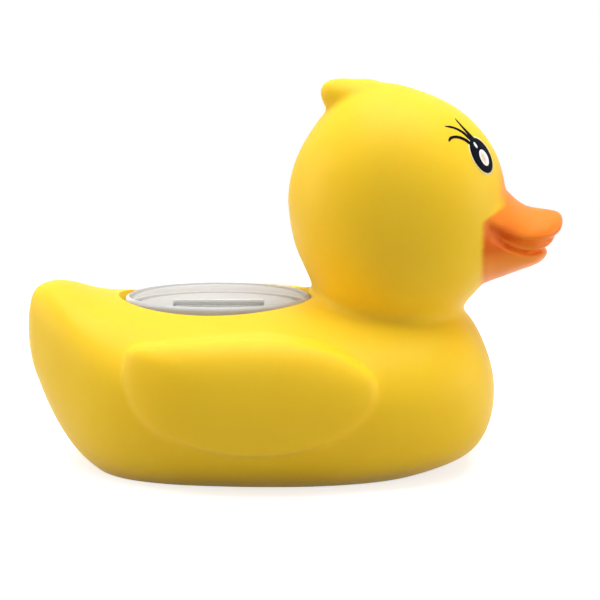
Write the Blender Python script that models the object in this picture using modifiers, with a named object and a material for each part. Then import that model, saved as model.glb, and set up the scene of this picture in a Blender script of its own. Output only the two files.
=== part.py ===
"""A floating duck bath thermometer for babies.

The duck is one hollow piece of soft vinyl, with its wings and bill moulded in it. A white capsule
passes down through it, in a well that runs from the back to the base. The capsule holds
the display under a clear domed lens, and below it the board, two button cells, a steel temperature
probe and two pins that sense the water.

Units are metres. +X is the way the duck looks, +Z is up, and the origin is on the floor, in the
middle of the duck's length and width. Heights are measured from the floor, and the stations of the
duck's outline from the end of its tail.
"""

import math

import bmesh
import bpy
import numpy as np
from mathutils import kdtree

MM = 0.001

# The duck's skin
WALL = 2.0 * MM  # the vinyl
SKIN_GRID = 1.0 * MM  # how finely the soft forms are blended
CAVITY_GRID = 3.4 * MM
NECK_BLEND = 5.6 * MM  # how softly the neck runs into the body
WING_BLEND = 1.6 * MM
BLEND_LOSS = 0.35 * MM  # what the blending takes off a round form
BILL_GRID = 0.7 * MM
BILL_BLEND = 0.9 * MM
ROOT_BLEND = 2.0 * MM  # how far from its root the bill runs softly into the head
BILL_TRIANGLES = 1400
SKIN_TRIANGLES = 5250
CAVITY_TRIANGLES = 560

# The capsule and the oval lens that closes its top, in the middle of the duck's back
CAPSULE_STATION = 46.7 * MM  # from the tail
LENS_WIDTH = 35.6 * MM
LENS_WALL = 1.5 * MM
LENS_SKIRT = 1.2 * MM  # the upright edge of the lens
LENS_RISE = 3.6 * MM  # how far it domes above its edge
FLANGE_REACH = 3.0 * MM  # how far the capsule's flange and lens stand out past its wall
SEAT_HEIGHT = 36.1 * MM  # the ledge in the vinyl that carries the flange
DECK = 1.3 * MM
CASE_WALL = 1.6 * MM
GAP = 0.3 * MM  # between pieces that touch or are pressed together
SLIP = 0.4 * MM  # round the capsule in the duck, and round loose pieces
FOOT_RECESS = 0.6 * MM  # what lies in the base stays this far above the floor
SEAL = 0.5 * MM  # thickness of the flat seals
CORD = 0.5 * MM  # half the thickness of the round seals

# Display
BEZEL = 0.7 * MM
BEZEL_ROOM = 0.7 * MM  # between the silver plate and the inside of the lens
GLASS = 2.0 * MM
GLASS_EDGE = 0.6 * MM  # what the plate covers of the glass, all round its window
FRAME_ROOM = 0.3 * MM  # between the display's frame and the posts
FRAME_WALL = 1.2 * MM
STRIP_WIDTH = 1.6 * MM
BOARD = 1.6 * MM
BOARD_DROP = 5.0 * MM  # from the deck's underside to the board
LAMP_RADIUS = 1.0 * MM
LAMP_ROOM = 0.6 * MM  # between the lamp and the edge of the board
PINHOLE_RADIUS = 0.6 * MM
CHIP_RADIUS = 3.6 * MM
CHIP_HEIGHT = 1.8 * MM
CRYSTAL_RADIUS = 1.0 * MM
CRYSTAL_LENGTH = 6.0 * MM
CRYSTAL_ACROSS = 5.0 * MM

# Foot of the capsule
PLATE = 2.2 * MM
COLLAR_HEIGHT = 4.6 * MM
COLLAR_WALL = 1.5 * MM
POST_CLEAR = 1.4 * MM  # between the side posts and the bay
POST_ROOM = 0.5 * MM  # between the posts and the case's wall
POST_RADIUS = 2.0 * MM
BOSS_HEIGHT = 2.0 * MM
SCREW_RADIUS = 0.8 * MM
SCREW_HEAD_RADIUS = 1.7 * MM
SCREW_HEAD = 1.0 * MM
SCREW_LENGTH = 9.0 * MM
CELL_RADIUS = 5.8 * MM
CELL_HEIGHT = 5.4 * MM
CELL_SLACK = 1.1 * MM  # round the cells, with room for the side contact
BAY_WALL = 1.3 * MM
BAY_ROOM = 0.2 * MM  # between the bay and the post behind it
COVER = 1.4 * MM
COVER_LIP = 1.4 * MM  # how far the cover's step is wider than the bay
CELL_ROOM = 1.0 * MM  # between the cover and the cells, for the cover's plug
CELL_RIM = 0.5 * MM
SLOT_LENGTH = 10.0 * MM  # for a coin, in the cover
SLOT_WIDTH = 1.6 * MM
SLOT_DEPTH = 0.8 * MM
CONTACT = 0.4 * MM
CONTACT_WIDTH = 3.0 * MM  # of the side contact, and half the round one's
STEM_RADIUS = 0.6 * MM
PROBE_RADIUS = 2.8 * MM
PROBE_WALL = 0.5 * MM
PROBE_HEIGHT = 8.4 * MM
PROBE_ROUND = 0.6 * MM
PROBE_FLANGE = 1.1 * MM
PROBE_BOSS_WALL = 1.6 * MM
PROBE_ROOM = 0.4 * MM  # between the probe's boss and the bay
NOSE_ROOM = 1.6 * MM  # between the probe's boss and the collar ahead of it
BEAD_RADIUS = 1.2 * MM
WIRE_RADIUS = 0.5 * MM
PIN_AHEAD = 3.0 * MM  # of the probe's axis
PIN_ROOM = 0.7 * MM  # between the pins and the collar
PIN_RADIUS = 0.8 * MM
PIN_HEAD_RADIUS = 1.6 * MM
PIN_HEAD = 0.6 * MM

OVER = 1.0 * MM  # how far a cutter runs past what it cuts

# Body: (station from the tail, underside, height of the widest line, top, half width), in mm
BODY = (
    (-0.1, 33.0, 33.0, 33.0, 0.0),
    (1.0, 24.5, 33.0, 41.6, 6.2),
    (3.0, 19.3, 32.0, 43.4, 10.2),
    (6.2, 12.2, 30.0, 44.4, 15.4),
    (11.0, 5.0, 26.5, 43.7, 21.8),
    (17.0, -0.4, 23.0, 41.5, 28.4),
    (24.5, -3.6, 20.5, 40.8, 34.0),
    (35.0, -4.7, 19.5, 40.6, 38.8),
    (47.0, -5.0, 19.0, 40.7, 41.0),
    (60.0, -5.0, 18.5, 40.9, 41.8),
    (73.0, -4.5, 18.0, 41.0, 41.2),
    (86.0, -3.0, 17.5, 40.6, 38.8),
    (96.5, -0.8, 17.0, 39.8, 34.8),
    (104.2, 1.6, 16.8, 38.2, 29.6),
    (108.8, 4.0, 17.0, 34.6, 24.4),
    (111.9, 7.6, 17.5, 29.0, 18.4),
    (113.9, 12.6, 18.0, 23.2, 10.5),
    (114.6, 18.2, 18.2, 18.2, 0.0),
)
BODY_ROUNDNESS = (2.6, 2.25)  # below and above the widest line: 2 is an ellipse, more is boxier

# Head: (height, back, station of the widest line, front, half width), in mm
HEAD = (
    (24.0, 90.0, 90.0, 90.0, 0.0),
    (27.0, 81.0, 90.0, 99.0, 9.0),
    (32.0, 76.0, 90.0, 104.0, 14.5),
    (36.0, 73.2, 90.0, 105.8, 18.0),
    (39.5, 71.8, 90.0, 107.0, 20.6),
    (43.2, 70.3, 90.0, 110.6, 22.8),
    (47.7, 68.4, 90.0, 114.0, 24.8),
    (53.6, 65.8, 90.0, 116.4, 26.4),
    (59.6, 64.6, 90.0, 117.2, 27.1),
    (65.5, 64.1, 90.0, 117.2, 26.9),
    (71.4, 65.0, 90.0, 116.2, 25.8),
    (77.4, 67.3, 89.5, 113.9, 23.6),
    (83.2, 70.9, 89.0, 109.5, 20.0),
    (87.7, 74.6, 88.5, 103.9, 15.4),
    (90.9, 78.4, 87.5, 96.8, 10.0),
    (92.7, 81.6, 86.5, 91.0, 5.4),
    (93.4, 86.0, 86.0, 86.0, 0.0),
)
HEAD_ROUNDNESS = (2.0, 2.0)

# Tuft at the back of the crown: (station, underside, height of the widest line, top, half width)
TUFT = (
    (71.8, 91.4, 91.4, 91.4, 0.0),
    (72.4, 88.6, 91.0, 93.2, 2.2),
    (74.6, 86.2, 90.2, 94.4, 3.8),
    (79.5, 83.6, 88.8, 94.5, 6.0),
    (87.0, 80.6, 86.8, 93.3, 8.0),
    (94.0, 84.0, 84.0, 84.0, 0.0),
)

# Bill, as four forms along the duck: its root on the face, the upper bill, the lip under it and the
# lower bill
BILL_ROOT = (
    (101.0, 56.0, 56.0, 56.0, 0.0),
    (105.0, 45.4, 56.6, 66.6, 17.4),
    (109.4, 44.2, 57.0, 67.2, 17.8),
    (112.2, 44.4, 57.0, 66.6, 16.6),
    (114.2, 46.2, 57.0, 65.0, 14.6),
    (115.6, 49.6, 57.0, 62.4, 11.2),
    (116.4, 57.0, 57.0, 57.0, 0.0),
)
UPPER_BILL = (
    (100.0, 63.0, 63.0, 63.0, 0.0),
    (104.0, 60.6, 62.2, 69.0, 16.5),
    (109.5, 60.8, 62.4, 70.2, 17.5),
    (113.5, 59.4, 60.7, 69.6, 16.2),
    (116.7, 57.8, 59.0, 67.8, 14.8),
    (119.7, 56.5, 57.7, 64.9, 13.7),
    (122.5, 55.9, 57.1, 63.1, 12.8),
    (125.5, 55.9, 57.1, 62.5, 11.6),
    (128.3, 56.2, 57.6, 62.1, 9.3),
    (130.4, 57.2, 58.6, 61.5, 5.6),
    (131.3, 59.6, 59.6, 59.6, 0.0),
)
LIP = (
    (100.0, 60.0, 60.0, 60.0, 0.0),
    (104.0, 57.6, 59.6, 63.0, 15.5),
    (110.5, 58.2, 60.0, 63.0, 16.6),
    (113.5, 56.9, 58.7, 62.0, 15.4),
    (116.7, 54.9, 56.8, 60.0, 13.9),
    (120.5, 53.5, 55.4, 59.0, 12.4),
    (124.5, 53.2, 55.1, 59.0, 10.7),
    (127.4, 53.9, 55.7, 58.5, 7.7),
    (129.0, 55.2, 56.7, 58.2, 4.0),
    (129.6, 56.8, 56.8, 56.8, 0.0),
)
LOWER_BILL = (
    (100.0, 50.0, 50.0, 50.0, 0.0),
    (104.0, 43.6, 54.4, 59.6, 16.4),
    (110.8, 43.9, 55.4, 58.9, 17.2),
    (113.7, 44.9, 55.0, 57.9, 15.9),
    (116.7, 46.0, 53.6, 55.8, 14.2),
    (120.5, 47.5, 52.4, 53.9, 12.2),
    (124.2, 48.9, 52.0, 53.3, 9.8),
    (126.5, 50.2, 52.0, 53.1, 6.2),
    (127.6, 51.9, 51.9, 51.9, 0.0),
)
UPPER_ROUNDNESS = (2.0, 1.7)
LIP_ROUNDNESS = (2.0, 2.0)
LOWER_ROUNDNESS = (2.0, 2.6)

# Wings: the outline of one, as (station, height) points of a closed curve
WING_OUTLINE = (
    (26.0, 33.4),
    (33.5, 35.2),
    (43.4, 36.2),
    (58.0, 37.0),
    (72.0, 35.2),
    (82.0, 30.0),
    (84.6, 25.2),
    (82.0, 18.6),
    (71.5, 12.0),
    (55.0, 9.8),
    (40.1, 12.0),
    (29.8, 17.0),
    (25.6, 25.0),
)
WING_SWELL = 3.6 * MM  # how far the middle of a wing stands out past its own edge
WING_FLATNESS = 0.62  # 1 lets a wing follow the side of the body, 0 makes it upright

BODY_HEIGHT = max(row[3] for row in BODY) * MM + OVER  # clear above the back
LENGTH = (UPPER_BILL[-1][0] - BODY[0][0]) * MM
MIDDLE = (UPPER_BILL[-1][0] + BODY[0][0]) / 2 * MM  # station of the origin
AXIS = CAPSULE_STATION - MIDDLE  # the capsule's axis along X

# The foot carries, from the back: a post, the cells' bay, the probe and the pins. Together they set
# the case's length, and the case sets the lens.
BAY_RADIUS = CELL_RADIUS + CELL_SLACK
STEP_RADIUS = BAY_RADIUS + COVER_LIP
BAY_OUTSIDE = STEP_RADIUS + BAY_WALL
PROBE_BOSS = PROBE_RADIUS + PROBE_BOSS_WALL
POST_REACH = CASE_WALL + GAP + POST_RADIUS + POST_ROOM
COLLAR_REACH = CASE_WALL + GAP + COLLAR_WALL
CASE_LENGTH = (
    POST_REACH
    + POST_RADIUS
    + BAY_ROOM
    + 2 * BAY_OUTSIDE
    + PROBE_ROOM
    + 2 * PROBE_BOSS
    + NOSE_ROOM
    + COLLAR_REACH
)
CASE_WIDTH = LENS_WIDTH - 2 * FLANGE_REACH
LENS_LENGTH = CASE_LENGTH + 2 * FLANGE_REACH
BAY_ALONG = POST_REACH + POST_RADIUS + BAY_ROOM + BAY_OUTSIDE - CASE_LENGTH / 2
POST_ACROSS = CASE_WIDTH / 2 - POST_REACH
POST_ALONG = BAY_ALONG + math.sqrt(
    max(0.0, (BAY_OUTSIDE + POST_RADIUS + POST_CLEAR) ** 2 - POST_ACROSS**2)
)
POSTS = (
    (POST_REACH - CASE_LENGTH / 2, 0.0),
    (POST_ALONG, POST_ACROSS),
    (POST_ALONG, -POST_ACROSS),
)
PROBE_ALONG = BAY_ALONG + BAY_OUTSIDE + PROBE_ROOM + PROBE_BOSS
PIN_ALONG = PROBE_ALONG + PIN_AHEAD
PIN_ACROSS = (CASE_WIDTH / 2 - COLLAR_REACH) * math.sqrt(
    1 - (PIN_ALONG / (CASE_LENGTH / 2 - COLLAR_REACH)) ** 2
) - (PIN_RADIUS + PIN_ROOM)
GLASS_LENGTH = CASE_LENGTH - 2 * (POST_REACH + POST_RADIUS + FRAME_ROOM + FRAME_WALL + GAP)
GLASS_WIDTH = 2 * (POST_ACROSS - POST_RADIUS - FRAME_ROOM - FRAME_WALL - GAP)
WINDOW_LENGTH = GLASS_LENGTH - 2 * GLASS_EDGE
WINDOW_WIDTH = GLASS_WIDTH - 2 * GLASS_EDGE
LAMP_ALONG = CASE_LENGTH / 2 - CASE_WALL - SLIP - LAMP_ROOM - LAMP_RADIUS

# Heights
FLANGE_BOTTOM = SEAT_HEIGHT + GAP
DECK_TOP = FLANGE_BOTTOM + DECK
LENS_BOTTOM = DECK_TOP + SEAL + 2 * GAP
BEZEL_TOP = DECK_TOP + GAP + BEZEL
BOARD_TOP = FLANGE_BOTTOM - BOARD_DROP
BOARD_BOTTOM = BOARD_TOP - BOARD
PLATE_TOP = FOOT_RECESS + PLATE
PLATE_MIDDLE = PLATE_TOP - PLATE / 2
BOSS_TOP = PLATE_TOP + BOSS_HEIGHT
CASE_FOOT = PLATE_TOP + SEAL + 2 * GAP
COVER_BOTTOM = FOOT_RECESS + GAP
COVER_TOP = COVER_BOTTOM + COVER
STEP_TOP = COVER_TOP + 2 * CORD + 2 * GAP
CELLS_BOTTOM = COVER_TOP + CELL_ROOM
CELLS_TOP = CELLS_BOTTOM + 2 * CELL_HEIGHT + GAP
BAY_TOP = CELLS_TOP + CONTACT + 2 * GAP
BAY_ROOF = BAY_TOP + BAY_WALL
SHOULDER = COVER_BOTTOM + SCREW_HEAD  # where a screw's head meets its shank


def clear_scene():
    """Removes whatever the scene starts with."""
    for obj in list(bpy.data.objects):
        bpy.data.objects.remove(obj, do_unlink=True)


def new_collection(name):
    """A collection in the scene."""
    collection = bpy.data.collections.new(name)
    bpy.context.scene.collection.children.link(collection)
    return collection


clear_scene()
DUCK = new_collection("duck_bath_thermometer")
CUTTERS = new_collection("cutters")


def material(name, colour, roughness, metallic=0.0, alpha=1.0):
    """A Principled material, made once for each name."""
    made = bpy.data.materials.get(name)
    if made is None:
        made = bpy.data.materials.new(name)
        made.use_nodes = True
        shader = made.node_tree.nodes["Principled BSDF"]
        shader.inputs["Base Color"].default_value = (*colour, 1.0)
        shader.inputs["Roughness"].default_value = roughness
        shader.inputs["Metallic"].default_value = metallic
        shader.inputs["Alpha"].default_value = alpha
        made.diffuse_color = (*colour, alpha)
    return made


VINYL = material("yellow_vinyl", (1.0, 0.72, 0.05), 0.5)
BILL_PAINT = material("orange_paint", (1.0, 0.28, 0.03), 0.45)
CLEAR = material("clear_plastic", (0.86, 0.88, 0.86), 0.08, alpha=0.35)
SILVER = material("silver_plastic", (0.62, 0.6, 0.54), 0.35)
WHITE = material("white_plastic", (0.8, 0.8, 0.76), 0.4)
RUBBER = material("grey_rubber", (0.12, 0.12, 0.12), 0.7)
DISPLAY = material("display_glass", (0.3, 0.32, 0.29), 0.15)
BOARD_GREEN = material("board_green", (0.02, 0.2, 0.07), 0.4)
BLACK = material("black_resin", (0.02, 0.02, 0.02), 0.45)
RED = material("red_lamp", (0.8, 0.03, 0.02), 0.15)
STEEL = material("steel", (0.6, 0.6, 0.6), 0.25, metallic=1.0)


def new_object(name, mesh, collection, finish=None):
    """An object for this mesh in the collection, with its finish."""
    obj = bpy.data.objects.new(name, mesh)
    collection.objects.link(obj)
    if finish is not None:
        mesh.materials.clear()
        mesh.materials.append(finish)
    return obj


def helper(obj):
    """Marks an object as a cutter or a guide, which is no part of the duck."""
    obj.hide_render = True
    obj.display_type = "WIRE"
    return obj


def applied(obj):
    """Replaces the object's mesh by what its modifiers make of it."""
    graph = bpy.context.evaluated_depsgraph_get()
    graph.update()
    mesh = bpy.data.meshes.new_from_object(obj.evaluated_get(graph))
    obj.modifiers.clear()
    obj.data = mesh
    return obj


def boolean(target, other, operation):
    """Adds a Boolean with the other object, which becomes a helper."""
    step = target.modifiers.new(f"{operation.lower()}_{other.name}", "BOOLEAN")
    step.operation = operation
    step.object = helper(other)
    return target


def spline(rows, steps):
    """Points on a Catmull-Rom curve through the rows, of any number of columns."""
    rows = np.asarray(rows, float)
    samples = []
    for i in range(1, len(rows) - 2):
        before, start, end, after = rows[i - 1 : i + 3]
        for t in np.arange(steps) / steps:
            samples.append(
                0.5
                * (
                    2 * start
                    + (end - before) * t
                    + (2 * before - 5 * start + 4 * end - after) * t**2
                    + (3 * start - before - 3 * end + after) * t**3
                )
            )
    samples.append(rows[-2])
    return np.array(samples)


def stations(table, inset=0.0, steps=4):
    """A table's sections, in metres, close enough together to be a smooth form.

    Each is (station, widest line, reach below it, reach above it, half width). At both ends, where
    the section is a point, the reaches carry on with their sign turned, so the form closes round.
    """
    table = np.asarray(table, float) * MM
    rows = np.stack(
        [
            table[:, 0],
            table[:, 2],
            table[:, 2] - table[:, 1],
            table[:, 3] - table[:, 2],
            table[:, 4],
        ],
        axis=1,
    )
    turned = np.array([1, 1, -1, -1, -1])
    curve = spline(np.vstack([rows[1] * turned, rows, rows[-2] * turned]), steps)
    if inset:
        middle = (curve[0, 0] + curve[-1, 0]) / 2
        length = abs(curve[-1, 0] - curve[0, 0])
        curve[:, 0] = middle + (curve[:, 0] - middle) * (1 - 2 * inset / length)
        for column in (2, 3, 4):
            largest = curve[:, column].max()
            curve[:, column] *= (largest - inset) / largest
    return curve


def power(value, exponent):
    """The value's size raised to a power, with its sign kept."""
    return math.copysign(abs(value) ** exponent, value)


def loft(name, curve, roundness, upright=False, sides=40):
    """A closed form through sections with round sides.

    It runs along X, or along Z if upright; then "below" and "above" are back and front.
    """
    bm = bmesh.new()
    rings = []
    for station, middle, low, high, half in curve[1:-1]:
        ring = []
        for i in range(sides):
            angle = 2 * math.pi * i / sides
            side, rise = math.cos(angle), math.sin(angle)
            reach, round_by = (high, roundness[1]) if rise >= 0 else (low, roundness[0])
            y = half * power(side, 2 / round_by)
            across = middle + reach * power(rise, 2 / round_by)
            ring.append((station, y, across))
        rings.append([place(bm, point, upright) for point in ring])
    for first, second in zip(rings, rings[1:]):
        for i in range(sides):
            j = (i + 1) % sides
            bm.faces.new((first[i], first[j], second[j], second[i]))
    for end, ring in ((curve[0], rings[0]), (curve[-1], rings[-1])):
        tip = place(bm, (end[0], 0.0, end[1]), upright)
        for i in range(sides):
            bm.faces.new((ring[i], ring[(i + 1) % sides], tip))
    bmesh.ops.recalc_face_normals(bm, faces=bm.faces)
    mesh = bpy.data.meshes.new(name)
    bm.to_mesh(mesh)
    bm.free()
    return new_object(name, mesh, CUTTERS)


def place(bm, point, upright):
    """A vertex of a loft, with its stations counted from the origin."""
    along, y, across = point
    if upright:
        return bm.verts.new((across - MIDDLE, y, along))
    return bm.verts.new((along - MIDDLE, y, across))


def side_of_body(curve, station, height):
    """The body's half width at this station and height."""
    widest, low, high, half = (
        np.interp(station, curve[:, 0], curve[:, column]) for column in (1, 2, 3, 4)
    )
    reach, round_by = (
        (high, BODY_ROUNDNESS[1]) if height >= widest else (low, BODY_ROUNDNESS[0])
    )
    share = min(abs(height - widest) / reach, 1.0)
    return half * (1 - share**round_by) ** (1 / round_by)


def wing(name, body, side):
    """One wing: a pad on the body's side, proud of it all round and swelling in the middle."""
    outline = np.array(WING_OUTLINE) * MM
    closed = np.vstack([outline[-1], outline, outline[:2]])
    edge = spline(closed, 6)[:-1]
    centre = edge.mean(axis=0)
    shares = np.sin(np.linspace(0, math.pi / 2, 12)[1:])
    widest = np.interp(centre[0], body[:, 0], body[:, 1])
    bm = bmesh.new()

    def vertex(share, point, sunk):
        station, height = centre + share * (point - centre)
        flattened = widest + WING_FLATNESS * (height - widest)
        out = side_of_body(body, station, flattened)
        out += WING_SWELL * math.sqrt(1 - share**4)
        if sunk:
            out = 0.7 * side_of_body(body, station, height)
        return bm.verts.new((station - MIDDLE, side * out, height))

    layers = []
    for sunk in (False, True):
        rings = [[vertex(share, point, sunk) for point in edge] for share in shares]
        middle = vertex(0.0, centre, sunk)
        layers.append(rings[-1])
        for i in range(len(edge)):
            j = (i + 1) % len(edge)
            bm.faces.new((rings[0][i], rings[0][j], middle))
            for inner, outer in zip(rings, rings[1:]):
                bm.faces.new((inner[i], inner[j], outer[j], outer[i]))
    for i in range(len(edge)):
        j = (i + 1) % len(edge)
        bm.faces.new((layers[0][i], layers[0][j], layers[1][j], layers[1][i]))
    bmesh.ops.recalc_face_normals(bm, faces=bm.faces)
    mesh = bpy.data.meshes.new(name)
    bm.to_mesh(mesh)
    bm.free()
    return new_object(name, mesh, CUTTERS)


def soft(obj, grid, blend):
    """Makes one closed skin of the object's overlapping forms, with soft valleys between them."""
    remesh = obj.modifiers.new("fuse", "REMESH")
    remesh.mode = "VOXEL"
    remesh.voxel_size = grid
    smooth = obj.modifiers.new("blend", "SMOOTH")
    smooth.factor = 0.5
    smooth.iterations = max(1, round((blend / grid) ** 2))
    return applied(obj)


def gathered(name, pieces):
    """One object with the meshes of all the pieces, which go."""
    bm = bmesh.new()
    for piece in pieces:
        bm.from_mesh(piece.data)
        bpy.data.objects.remove(piece)
    mesh = bpy.data.meshes.new(name)
    bm.to_mesh(mesh)
    bm.free()
    return new_object(name, mesh, CUTTERS)


def lighter(obj, triangles, group=""):
    """Brings a soft form, or a group of it, down to about this many triangles, alike on both sides."""
    bm = bmesh.new()
    bm.from_mesh(obj.data)
    bmesh.ops.triangulate(bm, faces=bm.faces)
    count = len(bm.faces)
    bm.to_mesh(obj.data)
    bm.free()
    fewer = obj.modifiers.new("fewer_faces", "DECIMATE")
    fewer.ratio = min(1.0, triangles / count)
    fewer.vertex_group = group
    fewer.use_symmetry = True
    fewer.symmetry_axis = "Y"
    applied(obj)
    obj.data.shade_smooth()
    return obj


def skin_form():
    """The outer skin of body, head, tuft and wings, and the root of the bill."""
    body = stations(BODY, -BLEND_LOSS)
    trunk = gathered(
        "trunk",
        [
            loft("body", body, BODY_ROUNDNESS),
            loft("head", stations(HEAD, -BLEND_LOSS), HEAD_ROUNDNESS, upright=True),
        ],
    )
    soft(trunk, SKIN_GRID, NECK_BLEND)
    tuft = loft("tuft", stations(TUFT), HEAD_ROUNDNESS)
    wings = [wing("wing_left", body, 1), wing("wing_right", body, -1)]
    form = gathered("duck_shell", [trunk, tuft, *wings])
    return soft(form, SKIN_GRID, WING_BLEND)


def bill_form():
    """The bill, open in a smile, with its root sunk in the head."""
    form = gathered(
        "bill",
        [
            loft("bill_root", stations(BILL_ROOT), LIP_ROUNDNESS),
            loft("upper_bill", stations(UPPER_BILL), UPPER_ROUNDNESS),
            loft("lip", stations(LIP), LIP_ROUNDNESS),
            loft("lower_bill", stations(LOWER_BILL), LOWER_ROUNDNESS),
        ],
    )
    return soft(form, BILL_GRID, BILL_BLEND)


def finishes_at(mesh):
    """The material slots that meet at each vertex."""
    found = [set() for _ in mesh.vertices]
    for face in mesh.polygons:
        for index in face.vertices:
            found[index].add(face.material_index)
    return found


def reach_from_root(mesh):
    """The distance of each vertex from the line where two finishes meet."""
    line = [vertex.co for vertex, slots in zip(mesh.vertices, finishes_at(mesh)) if len(slots) > 1]
    tree = kdtree.KDTree(len(line))
    for i, point in enumerate(line):
        tree.insert(point, i)
    tree.balance()
    return [tree.find(vertex.co)[2] for vertex in mesh.vertices]


def grouped(obj, name, weights):
    """A group of the object's vertices, with their weights."""
    group = obj.vertex_groups.new(name=name)
    for i, weight in enumerate(weights):
        if weight > 0:
            group.add([i], weight, "REPLACE")
    return group.name


def duck_form():
    """The whole outer skin, with the bill in its own finish and its flat base not yet cut."""
    skin = skin_form()
    bill = lighter(bill_form(), BILL_TRIANGLES)
    for form in (skin, bill):
        form.data.materials.append(VINYL)
        form.data.materials.append(BILL_PAINT)
    for face in bill.data.polygons:
        face.material_index = 1
    applied(joined(skin, bill))
    reach = reach_from_root(skin.data)
    smooth = skin.modifiers.new("soften_root", "SMOOTH")
    smooth.factor = 0.5
    smooth.iterations = 8
    smooth.vertex_group = grouped(skin, "root", [1 - along / ROOT_BLEND for along in reach])
    plain = [
        along > ROOT_BLEND and 1 not in slots
        for along, slots in zip(reach, finishes_at(skin.data))
    ]
    applied(skin)
    lighter(skin, SKIN_TRIANGLES, grouped(skin, "plain", plain))
    skin.vertex_groups.clear()
    return skin


def cavity_form():
    """The hollow inside the duck, which leaves the wall and the ledge for the capsule."""
    form = gathered(
        "cavity",
        [
            loft("body_hollow", stations(BODY, WALL), BODY_ROUNDNESS, sides=24),
            loft("head_hollow", stations(HEAD, WALL), HEAD_ROUNDNESS, True, sides=24),
        ],
    )
    soft(form, CAVITY_GRID, CAVITY_GRID)
    lighter(form, CAVITY_TRIANGLES)
    round_seat = 3 * WALL
    ledge = oval(
        "ledge", LENS_LENGTH + round_seat, LENS_WIDTH + round_seat, SEAT_HEIGHT - WALL, LENGTH
    )
    floor = block("floor", (LENGTH, LENGTH, LENGTH), (-AXIS, 0.0, WALL - LENGTH / 2))
    return boolean(boolean(form, ledge, "DIFFERENCE"), floor, "DIFFERENCE")


def oval(name, length, width, bottom, top, along=0.0, across=0.0, finish=None, sides=40):
    """An upright cylinder, oval or round, its middle this far from the capsule's axis."""
    bm = bmesh.new()
    bmesh.ops.create_cone(
        bm, cap_ends=True, segments=sides, radius1=0.5, radius2=0.5, depth=1.0
    )
    bmesh.ops.scale(bm, vec=(length, width, top - bottom), verts=bm.verts)
    mesh = bpy.data.meshes.new(name)
    bm.to_mesh(mesh)
    bm.free()
    return stood(name, mesh, (along, across, (bottom + top) / 2), finish)


def pin(name, radius, bottom, top, along=0.0, across=0.0, finish=None, sides=16):
    """A round upright cylinder, given by its radius."""
    return oval(name, 2 * radius, 2 * radius, bottom, top, along, across, finish, sides)


def block(name, size, middle, finish=None):
    """A box of this size, its middle this far from the capsule's axis."""
    bm = bmesh.new()
    bmesh.ops.create_cube(bm, size=1.0)
    bmesh.ops.scale(bm, vec=size, verts=bm.verts)
    mesh = bpy.data.meshes.new(name)
    bm.to_mesh(mesh)
    bm.free()
    return stood(name, mesh, middle, finish)


def turned(name, profile, along=0.0, across=0.0, finish=None, ratio=1.0, closed=False, steps=24):
    """A profile of (radius, height) turned round, from the top down its outer side.

    The ratio is width to length, for an oval. A closed profile gives a ring.
    """
    mesh = bpy.data.meshes.new(name)
    edges = [(i, i + 1) for i in range(len(profile) - 1)]
    if closed:
        edges.append((len(profile) - 1, 0))
    mesh.from_pydata([(radius, 0.0, height) for radius, height in profile], edges, [])
    obj = stood(name, mesh, (along, across, 0.0), finish)
    obj.scale.y = ratio
    screw = obj.modifiers.new("turn", "SCREW")
    screw.steps = steps
    screw.render_steps = steps
    screw.use_merge_vertices = True
    screw.merge_threshold = 0.01 * MM
    return obj


def stood(name, mesh, middle, finish):
    """Places a piece by its distance from the capsule's axis, or a cutter if it has no finish."""
    mesh.shade_smooth()
    mesh.set_sharp_from_angle(angle=math.radians(35))
    obj = new_object(name, mesh, DUCK if finish else CUTTERS, finish)
    along, across, height = middle
    obj.location = (AXIS + along, across, height)
    return obj


def cut(piece, *cutters):
    """Cuts the piece with each cutter."""
    for cutter in cutters:
        boolean(piece, cutter, "DIFFERENCE")
    return piece


def joined(piece, *others):
    """Makes the piece and the others one solid."""
    for other in others:
        boolean(piece, other, "UNION")
    return piece


def round_ring(radius, middle, thickness, sides=8):
    """The closed profile of a ring with a round section."""
    angles = [2 * math.pi * i / sides for i in range(sides)]
    half = thickness / 2
    return [(radius + half * math.cos(a), middle - half * math.sin(a)) for a in angles]


def duck_shell():
    """The vinyl duck: one hollow piece, with a well for the capsule from back to base."""
    shell = duck_form()
    CUTTERS.objects.unlink(shell)
    DUCK.objects.link(shell)
    room = 2 * SLIP
    cut(
        shell,
        cavity_form(),
        block("under_base", (LENGTH, LENGTH, LENGTH), (-AXIS, 0.0, -LENGTH / 2)),
        oval("lens_pocket", LENS_LENGTH + room, LENS_WIDTH + room, SEAT_HEIGHT, BODY_HEIGHT),
        oval("capsule_well", CASE_LENGTH + room, CASE_WIDTH + room, -OVER, SEAT_HEIGHT + OVER),
    )


def display_lens():
    """Clear domed oval lens, hollow underneath, with an upright skirt round its edge."""
    reach = LENS_LENGTH / 2
    edge = LENS_BOTTOM + LENS_SKIRT
    angles = [math.pi / 2 * i / 7 for i in range(8)]
    outer = [(reach * math.sin(a), edge + LENS_RISE * math.cos(a)) for a in angles]
    hollow = reach - LENS_WALL
    inner = [(hollow * math.sin(a), edge + (LENS_RISE - LENS_WALL) * math.cos(a)) for a in angles]
    profile = outer + [(reach, LENS_BOTTOM), (hollow, LENS_BOTTOM)] + inner[::-1]
    turned("display_lens", profile, finish=CLEAR, ratio=LENS_WIDTH / LENS_LENGTH, steps=40)


def lens_seal():
    """Flat oval seal between the lens and the capsule's flange."""
    fit = 2 * (LENS_WALL + GAP)
    bottom = DECK_TOP + GAP
    top = bottom + SEAL
    seal = oval("lens_seal", LENS_LENGTH, LENS_WIDTH, bottom, top, finish=RUBBER)
    length, width = LENS_LENGTH - fit, LENS_WIDTH - fit
    cut(seal, oval("lens_seal_bore", length, width, bottom - OVER, top + OVER))


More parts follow.
